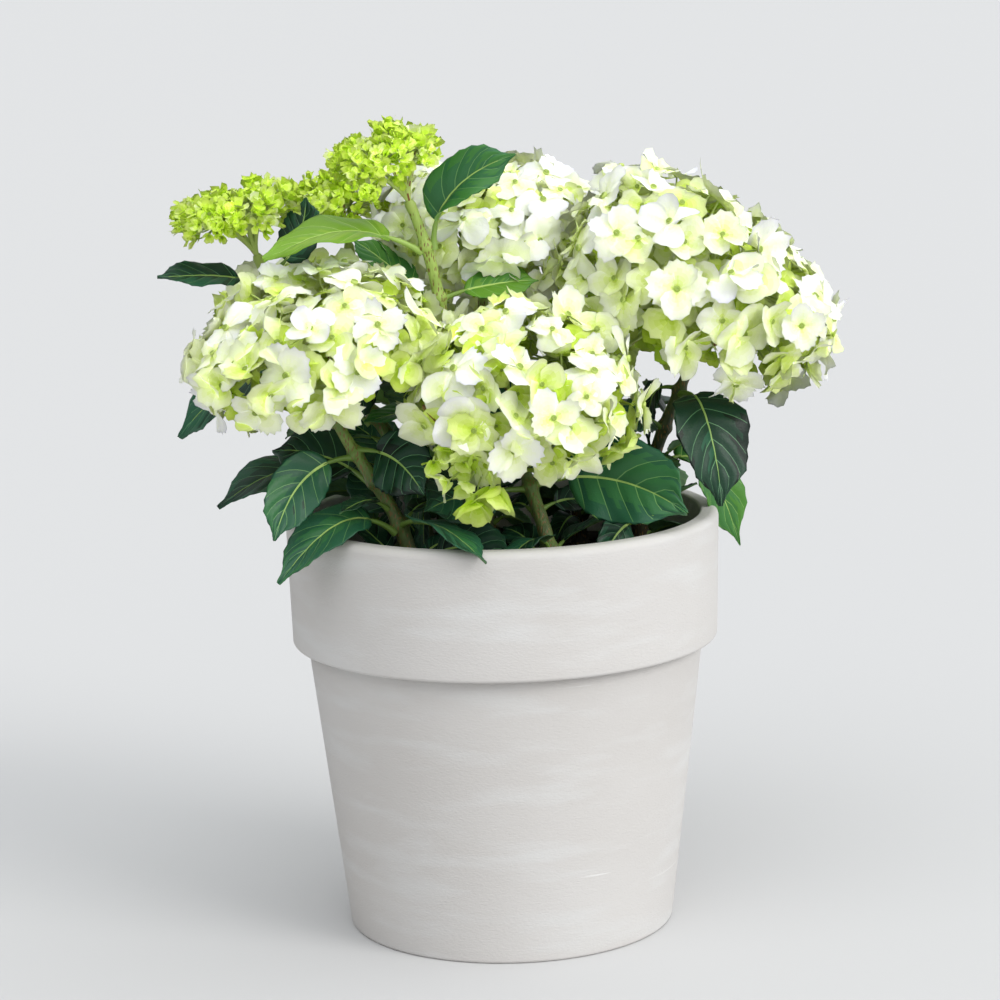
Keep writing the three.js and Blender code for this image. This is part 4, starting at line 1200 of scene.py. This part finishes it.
def eyes(layer, size, sides):
    """The small green bud in the middle of each floret, dimpled on top."""
    side, back = square(layer["faces"])
    angles = np.arange(sides) * 2 * math.pi / sides
    ring = side[:, None] * np.sin(angles)[:, None] + back[:, None] * np.cos(angles)[:, None]
    scale = (layer["radius"] / FLORET_RADIUS * size)[:, None, None, None]
    points = (ring[:, None] * EYE_RADII[:, None, None]
              + layer["faces"][:, None, None] * EYE_HEIGHTS[:, None, None])
    return nets(layer["middle"][:, None, None] + points * scale,
                np.repeat(EYE_TINTS, sides)[None], closed=True)


eye_finishes = [finish("eye_rim", (196, 214, 116), 0.5),
                finish("eye_middle", (142, 164, 66), 0.55)]
print("the eye of a large floret is", 2000 * EYE_RADII.max(), "mm across")

# %% The broad heads
# rows and columns of a sepal's net, and the sides of an eye, from the outer layer inwards
NET_SIZES, EYE_SIDES, EYE_SIZE = ((8, 19), (6, 13), (4, 9)), (8, 7, 5), 1.05
CUPS, OTHER_CUP = {"right": 0.24, "front_middle": 0.14}, 0.1
for name, stem in stems.items():
    if stem["young"]:
        continue
    rng = np.random.default_rng(200 + stem["row"])
    cup = CUPS.get(name, OTHER_CUP)
    parts = [sepals(layer, *size, rng, cup, tilt=cup)
             for layer, size in zip(stem["layers"], NET_SIZES)]
    buds = [eyes(layer, EYE_SIZE, sides) for layer, sides in zip(stem["layers"], EYE_SIDES)]
    if stem is late_stem:
        parts.append(sepals(late, 7, 13, rng, cup=0.45, tilt=0.7, greener=0.4, narrow=1.7))
        buds.append(eyes(late, EYE_SIZE, 7))
        stem["layers"].append(late)
    piece(f"sepals_{name}", parts, sepal_finishes, [f"bloom_{name}"])
    piece(f"eyes_{name}", buds, eye_finishes, [])
print("sepal triangles:", sum(n for name, n in triangle_counts.items() if "sepals" in name))

# %% [markdown]
# ## Young heads
#
# The three small heads haven't opened yet. Each of the source's young florets stands for a
# tuft of tiny lime-green ones, whose sepals still stand up like cups round a bead-like bud.
# The tuft is made by the same golden angle, and then the same sepal net is used, smaller,
# narrower and steeper.

# %% Tufts of tiny florets
TUFT, TUFT_BREADTH, TUFT_DOME, TUFT_UNEVEN = 12, 0.95, 0.3, (-0.3, 0.12)
TUFT_OPENS, TUFT_LIFT, TUFT_TURNED = 0.5, 0.35, 0.2
TINY_RADII, TINY_YOUTH = (0.0056, 0.0088), (0.62, 0.09)
for name, stem in stems.items():
    if not stem["young"]:
        continue
    rng = np.random.default_rng(300 + stem["row"])
    mother = stem["layers"][0]
    count = len(mother["radius"])
    side, back = square(mother["faces"])
    number = np.arange(TUFT)
    turn = number * GOLDEN_ANGLE + mother["spin"][:, None]
    share = np.sqrt((number + 0.3) / TUFT) * TUFT_BREADTH
    away = side[:, None] * np.cos(turn)[..., None] + back[:, None] * np.sin(turn)[..., None]
    away = away * share[:, None]
    lower = -TUFT_DOME * share ** 2 + rng.uniform(*TUFT_UNEVEN, (count, TUFT))
    face = np.broadcast_to(mother["faces"][:, None], away.shape)
    apart = (away + face * lower[..., None]) * mother["radius"][:, None, None]
    middle = mother["middle"][:, None] + apart
    faces = unit(face + TUFT_OPENS * away + TUFT_LIFT * UP + rng.normal(0, TUFT_TURNED, away.shape))
    stem["tufts"] = {"middle": middle.reshape(-1, 3), "faces": faces.reshape(-1, 3),
                     "radius": rng.uniform(*TINY_RADII, count * TUFT),
                     "spin": rng.uniform(0, math.pi, count * TUFT),
                     "youth": rng.normal(*TINY_YOUTH, count * TUFT)}
    tiny = sepals(stem["tufts"], 4, 7, rng, cup=0.25, tilt=0.6, greener=0.5, narrow=3.4, sag=0)
    piece(f"sepals_{name}", [tiny], sepal_finishes, [f"bloom_{name}"])
    piece(f"eyes_{name}", [eyes(stem["tufts"], 1.3, 6)], eye_finishes, [])
print("tiny florets:", sum(len(s["tufts"]["radius"]) for s in stems.values() if s["young"]))

# %% [markdown]
# ## Rays
#
# Under the florets a head is a little tree: the stem forks into thick rays, each ray into
# thin ones, and each thin one ends at a floret. They show between the sepals as pale lines.
# Each could be drawn as a curve object, but a head has hundreds of them. So each floret
# looks for the nearest of a few branch points, spread by the golden angle again, and a
# smooth tube joins the two.

# %% The thick rays of a head
PEDUNCLE, RAYS, YOUNG_RAYS = 0.005, 11, 9
FORK_RISES, FORK_BREADTH, FORK_DEPTH = (0.75, -0.35), 0.5, 0.3
RAY_TINTS, SPECKLED = 4, 0.1
THICK_RADII, THICK_SIDES = np.linspace(0.0017, 0.001, 12), 7
NECK_RADII = np.array([0.0029, 0.0031, 0.0032, 0.0022])


def forks_of(stem):
    """The branch points of a head, spread by the golden angle over a smaller dome."""
    count = YOUNG_RAYS if stem["young"] else RAYS
    side, back = square(stem["axis"])
    rise = np.linspace(*FORK_RISES, count)
    turn = np.arange(count) * GOLDEN_ANGLE + stem["row"]
    ring = np.sqrt(1 - rise ** 2)[:, None] * FORK_BREADTH
    return settled(stem, stem["middle"] + side * ring * np.cos(turn)[:, None] * stem["across"]
                   + back * ring * np.sin(turn)[:, None] * stem["across"]
                   + stem["axis"] * (rise * FORK_DEPTH * stem["deep"])[:, None])


def thick_rays(stem, forks, rng):
    """The neck of a head, and the rays from it to the branch points, with a few specks."""
    start = stem["end"] + stem["axis"] * PEDUNCLE
    starts = np.repeat(start[None], len(forks), 0) - stem["axis"] * 0.003
    long = np.linalg.norm(forks - start, axis=1)[:, None]
    lines = bent(starts, stem["axis"] * 0.35 * long, forks, unit(forks - start) * 0.3 * long,
                 len(THICK_RADII))
    thick = THICK_RADII * (0.8 if stem["young"] else 1)
    faces = (len(forks), len(THICK_RADII) - 1, THICK_SIDES)
    specks = np.where(rng.uniform(0, 1, faces) < SPECKLED, RAY_TINTS, 1)
    neck_line = np.linspace(stem["end"] - stem["axis"] * 0.002, start, len(NECK_RADII))
    return [tubes(lines, np.repeat(thick[None], len(forks), 0), THICK_SIDES, specks),
            tubes(neck_line[None], NECK_RADII[None], 12, 2)]


print("a broad head forks into", RAYS, "thick rays")

# %% The thin rays, and all of them together
THIN_RADII, THIN_SIDES = np.linspace(0.00075, 0.00055, 6), 5


def thin_rays(stem, layer, forks, rng):
    """A thin ray from the nearest branch point to each floret of a layer."""
    end = layer["middle"] - layer["faces"] * 0.0003
    nearest = np.linalg.norm(end[:, None] - forks[None], axis=-1).argmin(1)
    origin = forks[nearest]
    far = np.linalg.norm(end - origin, axis=1)[:, None]
    lines = bent(origin, unit(end - origin) * 0.3 * far, end, layer["faces"] * 0.45 * far,
                 len(THIN_RADII))
    thin = THIN_RADII * (0.75 if stem["young"] else 1)
    tints = rng.integers(0, 3, len(end))
    return tubes(lines, np.repeat(thin[None], len(end), 0), THIN_SIDES, tints)


ray_finishes = (ramp("ray", [(206, 220, 140), (172, 194, 96), (138, 154, 70)], RAY_TINTS, 0.5)
                + [finish("ray_speck", (132, 84, 48), 0.6)])
for name, stem in stems.items():
    rng = np.random.default_rng(400 + stem["row"])
    forks = forks_of(stem)
    parts = thick_rays(stem, forks, rng)
    for layer in [stem["tufts"]] if stem["young"] else stem["layers"]:
        parts.append(thin_rays(stem, layer, forks, rng))
    piece(f"rays_{name}", parts, ray_finishes, [])
print("ray triangles:", sum(n for name, n in triangle_counts.items() if "rays" in name))

# %% [markdown]
# ## The clay pot
#
# The pot is thrown clay under a thin pale wash: matt, slightly uneven, with a rounded lip, a
# deep collar and a sharp shadow under the collar's step. A modelled profile, turned round
# the axis, is the natural way to make a thrown pot. The CAD one has 48 sides, so the same
# profile is turned again with many more, and pushed in and out a little by slow waves.

# %% The profile of the pot
COLLAR_HEIGHT, COLLAR_FOOT_RADIUS, BODY_TOP_RADIUS = 0.073, 0.1233, 0.1145
FOOT_RADIUS, LIP_ROUND, EDGE_ROUND = 0.095, 0.0045, 0.002
GROOVE, GROOVE_HEIGHT, CENTRE = 0.0015, 0.0025, 0.0001


def arc(middle_r, middle_z, radius, start, end, count):
    """Points on a round edge of the profile, between two angles in degrees."""
    angles = np.radians(np.linspace(start, end, count))
    return [(middle_r + radius * math.cos(a), middle_z + radius * math.sin(a)) for a in angles]


def run(start, end, count):
    """Points on a straight part of the profile, without its ends."""
    return [tuple(p) for p in np.linspace(start, end, count + 2)[1:-1]]


collar_foot = POT_HEIGHT - COLLAR_HEIGHT
lip_middle = (RIM_RADIUS - LIP_ROUND, POT_HEIGHT - LIP_ROUND)
inner_lip = inner_radius(POT_HEIGHT) + EDGE_ROUND
foot_edge = arc(FOOT_RADIUS - EDGE_ROUND, EDGE_ROUND, EDGE_ROUND, -90, 0, 6)
under_collar = (BODY_TOP_RADIUS - GROOVE, collar_foot)
body_top = (BODY_TOP_RADIUS, collar_foot - GROOVE_HEIGHT)
collar_edge = arc(COLLAR_FOOT_RADIUS - EDGE_ROUND, collar_foot + EDGE_ROUND, EDGE_ROUND,
                  -90, 0, 7)
lip = arc(*lip_middle, LIP_ROUND, 0, 90, 9)
inner_edge = arc(inner_lip, POT_HEIGHT - EDGE_ROUND, EDGE_ROUND, 90, 180, 6)
inside_foot = (inner_radius(POT_FLOOR), POT_FLOOR)
profile = np.array([(CENTRE, 0), *run((0, 0), foot_edge[0], 6), *foot_edge,
                    *run(foot_edge[-1], body_top, 24), body_top, under_collar,
                    *run(under_collar, collar_edge[0], 3), *collar_edge,
                    *run(collar_edge[-1], lip[0], 12), *lip, *inner_edge,
                    *run(inner_edge[-1], inside_foot, 16), inside_foot, (CENTRE, POT_FLOOR)])
print("the profile has", len(profile), "points")

# %% The finish of the pot
CLAY, PALE_CLAY, WASH, MARK = (195, 191, 187), (202, 199, 196), (206, 205, 203), (224, 223, 221)


def clay_finish():
    """Pale washed clay: warm grey below the wash, faint sweeps of the brush, fine grain."""
    made = finish("washed_clay", CLAY, 0.85, Specular_IOR_Level=0.25)
    tree = made.node_tree
    place = node(tree, "TexCoord").outputs["Object"]

    def noise(scale, stretch, turn, detail):
        turn = [math.radians(x) for x in turn]
        mapped = node(tree, "Mapping", {"Vector": place}, Scale=stretch, Rotation=turn)
        return node(tree, "TexNoise", {"Vector": mapped.outputs["Vector"]}, Scale=scale,
                    Detail=detail).outputs["Fac"]

    clouds = noise(7, (1, 1, 1.6), (0, 0, 0), 4)
    sweeps = noise(14, (1, 1, 5), (12, -9, 0), 3)
    scratches = noise(13, (0.6, 0.6, 22), (-9, 6, 0), 2)
    grain = noise(420, (1, 1, 2.5), (0, 0, 0), 6)
    clay = mixed(tree, stepped(tree, clouds, 0.3, 0.7), CLAY, PALE_CLAY)
    washed = mixed(tree, stepped(tree, sweeps, 0.5, 0.8), clay, WASH)
    marked = mixed(tree, stepped(tree, scratches, 0.74, 0.78), washed, MARK)
    tree.links.new(marked, tree.nodes["Principled BSDF"].inputs["Base Color"])
    raised(tree, grain, 0.0002)
    return made


# %% The pot
POT_SIDES, WOBBLE = 200, 0.00025
angles = np.arange(POT_SIDES) * 2 * math.pi / POT_SIDES
radius, height = profile[:, :1], profile[:, 1:]
slow = WOBBLE * np.sin(3 * angles + 1) * np.sin(14 * height + 2 * angles) * (height > 0.003)
turned_radius = np.minimum(radius + slow * (radius > 0.05), RIM_RADIUS)
points = np.stack([turned_radius * np.sin(angles), -turned_radius * np.cos(angles),
                   height + 0 * angles], -1)
piece("clay_pot", [nets(points[None], 0, closed=True)], [clay_finish()], ["pot"])
print("the pot is", round(POT_HEIGHT, 3), "m high and", round(2 * RIM_RADIUS, 3), "m across")

# %% [markdown]
# ## Compost
#
# The pot is filled to a thumb's width under its rim. Compost is dark, rough and crumbly. A
# displaced disc gives the lie of it, and hundreds of small broken crumbs on top give it its
# scale. All of them together are one mesh.

# %% The compost
CRUMBS, CRUMB_SIDES, CRUMB_SIZES, CRUMB_MARGIN = 700, 5, (0.0008, 0.0028), 0.006
SOIL_RINGS, SOIL_SIDES, SOIL_BUMPS, SOIL_NOISE = 40, 90, 0.0008, 0.0004
rng = np.random.default_rng(7)
ground = inner_radius(SOIL_LEVEL) - CLEARANCE
shares = np.linspace(0.002, 1, SOIL_RINGS)[:, None]
angles = np.arange(SOIL_SIDES) * 2 * math.pi / SOIL_SIDES
x, y = shares * ground * np.sin(angles), -shares * ground * np.cos(angles)
bumps = np.sin(90 * x + 3 * np.sin(70 * y)) + np.sin(120 * y + 2 * np.sin(80 * x))
bumps = np.minimum((bumps - 2) * SOIL_BUMPS + rng.normal(0, SOIL_NOISE, x.shape), 0)
disc = nets(np.stack([x, y, SOIL_LEVEL + bumps], -1)[None], 0, closed=True)
spots = np.sqrt(rng.uniform(0, 1, CRUMBS)) * (ground - CRUMB_MARGIN)
turns = rng.uniform(0, 2 * math.pi, CRUMBS)
sizes = rng.uniform(*CRUMB_SIZES, CRUMBS)
middles = np.stack([spots * np.cos(turns), spots * np.sin(turns), SOIL_LEVEL - 0.4 * sizes], -1)
rings = np.array([0.05, 0.9, 1.0, 0.7, 0.05])
heights = np.array([-0.6, -0.4, 0.1, 0.5, 0.6])
lumps = rng.uniform(0.7, 1.3, (CRUMBS, len(rings), CRUMB_SIDES))
lumps = lumps * rings[:, None] * sizes[:, None, None]
around = np.arange(CRUMB_SIDES) * 2 * math.pi / CRUMB_SIDES + turns[:, None, None]
crumb = np.stack([lumps * np.sin(around), -lumps * np.cos(around),
                  heights[:, None] * sizes[:, None, None] + 0 * around], -1)
crumbs = nets(middles[:, None, None] + crumb, rng.integers(0, 3, CRUMBS), closed=True)
soil_finishes = ramp("compost", [(38, 28, 21), (58, 43, 31), (84, 64, 46)], 3, 0.95, (500, 0.0006))
piece("compost", [disc, crumbs], soil_finishes, ["soil"])
print(CRUMBS, "crumbs")

# %% [markdown]
# ## A quiet studio
#
# The photograph has soft, bright daylight from above and from the right. A pale floor and a
# pale sky, brighter overhead and towards the right, give the soft part, and two distant
# lamps the direction. A photographed sky could light the plant as well, but it would bring a
# picture along. Broad lamps keep the shadows under the sepals soft. The Standard view keeps
# white sepals white.

# %% The floor and the sky
FLOOR_SIZE = 400
SKY_BRIGHT_SIDE, SKY_FADES, SKY_STRENGTHS = (0.6, -0.3, 0.9), (-0.3, 1), (0.28, 1.38)

floor_mesh = bpy.data.meshes.new("floor")
corners = [(x * FLOOR_SIZE, y * FLOOR_SIZE, 0) for x, y in ((-1, -1), (1, -1), (1, 1), (-1, 1))]
floor_mesh.from_pydata(corners, [], [(0, 1, 2, 3)])
floor_mesh.materials.append(finish("floor_paper", (198, 197, 196), 0.9))
floor = bpy.data.objects.new("floor", floor_mesh)
bpy.context.scene.collection.objects.link(floor)
floor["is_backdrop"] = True

world = bpy.data.worlds.new("daylight")
world.use_nodes = True
tree = world.node_tree
background = tree.nodes["Background"]
background.inputs["Color"].default_value = (0.93, 0.965, 1.0, 1)
way = node(tree, "TexCoord").outputs["Generated"]
toward = node(tree, "VectorMath", {0: way}, {"operation": "DOT_PRODUCT"})
toward.inputs[1].default_value = SKY_BRIGHT_SIDE
bright = node(tree, "MapRange", {"Value": toward.outputs["Value"]}, From_Min=SKY_FADES[0],
              From_Max=SKY_FADES[1], To_Min=SKY_STRENGTHS[0], To_Max=SKY_STRENGTHS[1])
tree.links.new(bright.outputs["Result"], background.inputs["Strength"])
bpy.context.scene.world = world
print("the floor is", 2 * FLOOR_SIZE, "m wide")

# %% The lamps
def lamp(name, turn, height, strength, softness, colour):
    """A distant, soft lamp: turn and height are the angles at which it stands."""
    light = bpy.data.lights.new(name, "SUN")
    light.angle, light.energy, light.color = math.radians(softness), strength, colour
    made = bpy.data.objects.new(name, light)
    to_lamp = heading(turn, height)
    side = square(to_lamp)[0]
    axes = Matrix([side, np.cross(to_lamp, side), to_lamp])
    made.matrix_world = axes.transposed().to_4x4()
    bpy.context.scene.collection.objects.link(made)


lamp("window", -38, 31, 1.35, 28, (1, 0.99, 0.97))
lamp("sky", -112, 56, 0.65, 50, (0.96, 0.98, 1))
bpy.context.scene.view_settings.view_transform = "Standard"

# %% [markdown]
# ## Last sizes
#
# The box of the dressed plant is worked out beside the CAD model's, and printed with the count of
# triangles. The dressed plant has to stay the size of the CAD model.

# %% Sizes, and the end
bpy.context.view_layer.update()
sizes = {"cad": [list(corner) for corner in cad_box],
         "visual": [list(corner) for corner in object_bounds()]}
print("triangles in all:", sum(triangle_counts.values()))
print("box in mm:", [[round(1000 * x) for x in corner] for corner in sizes["visual"]])
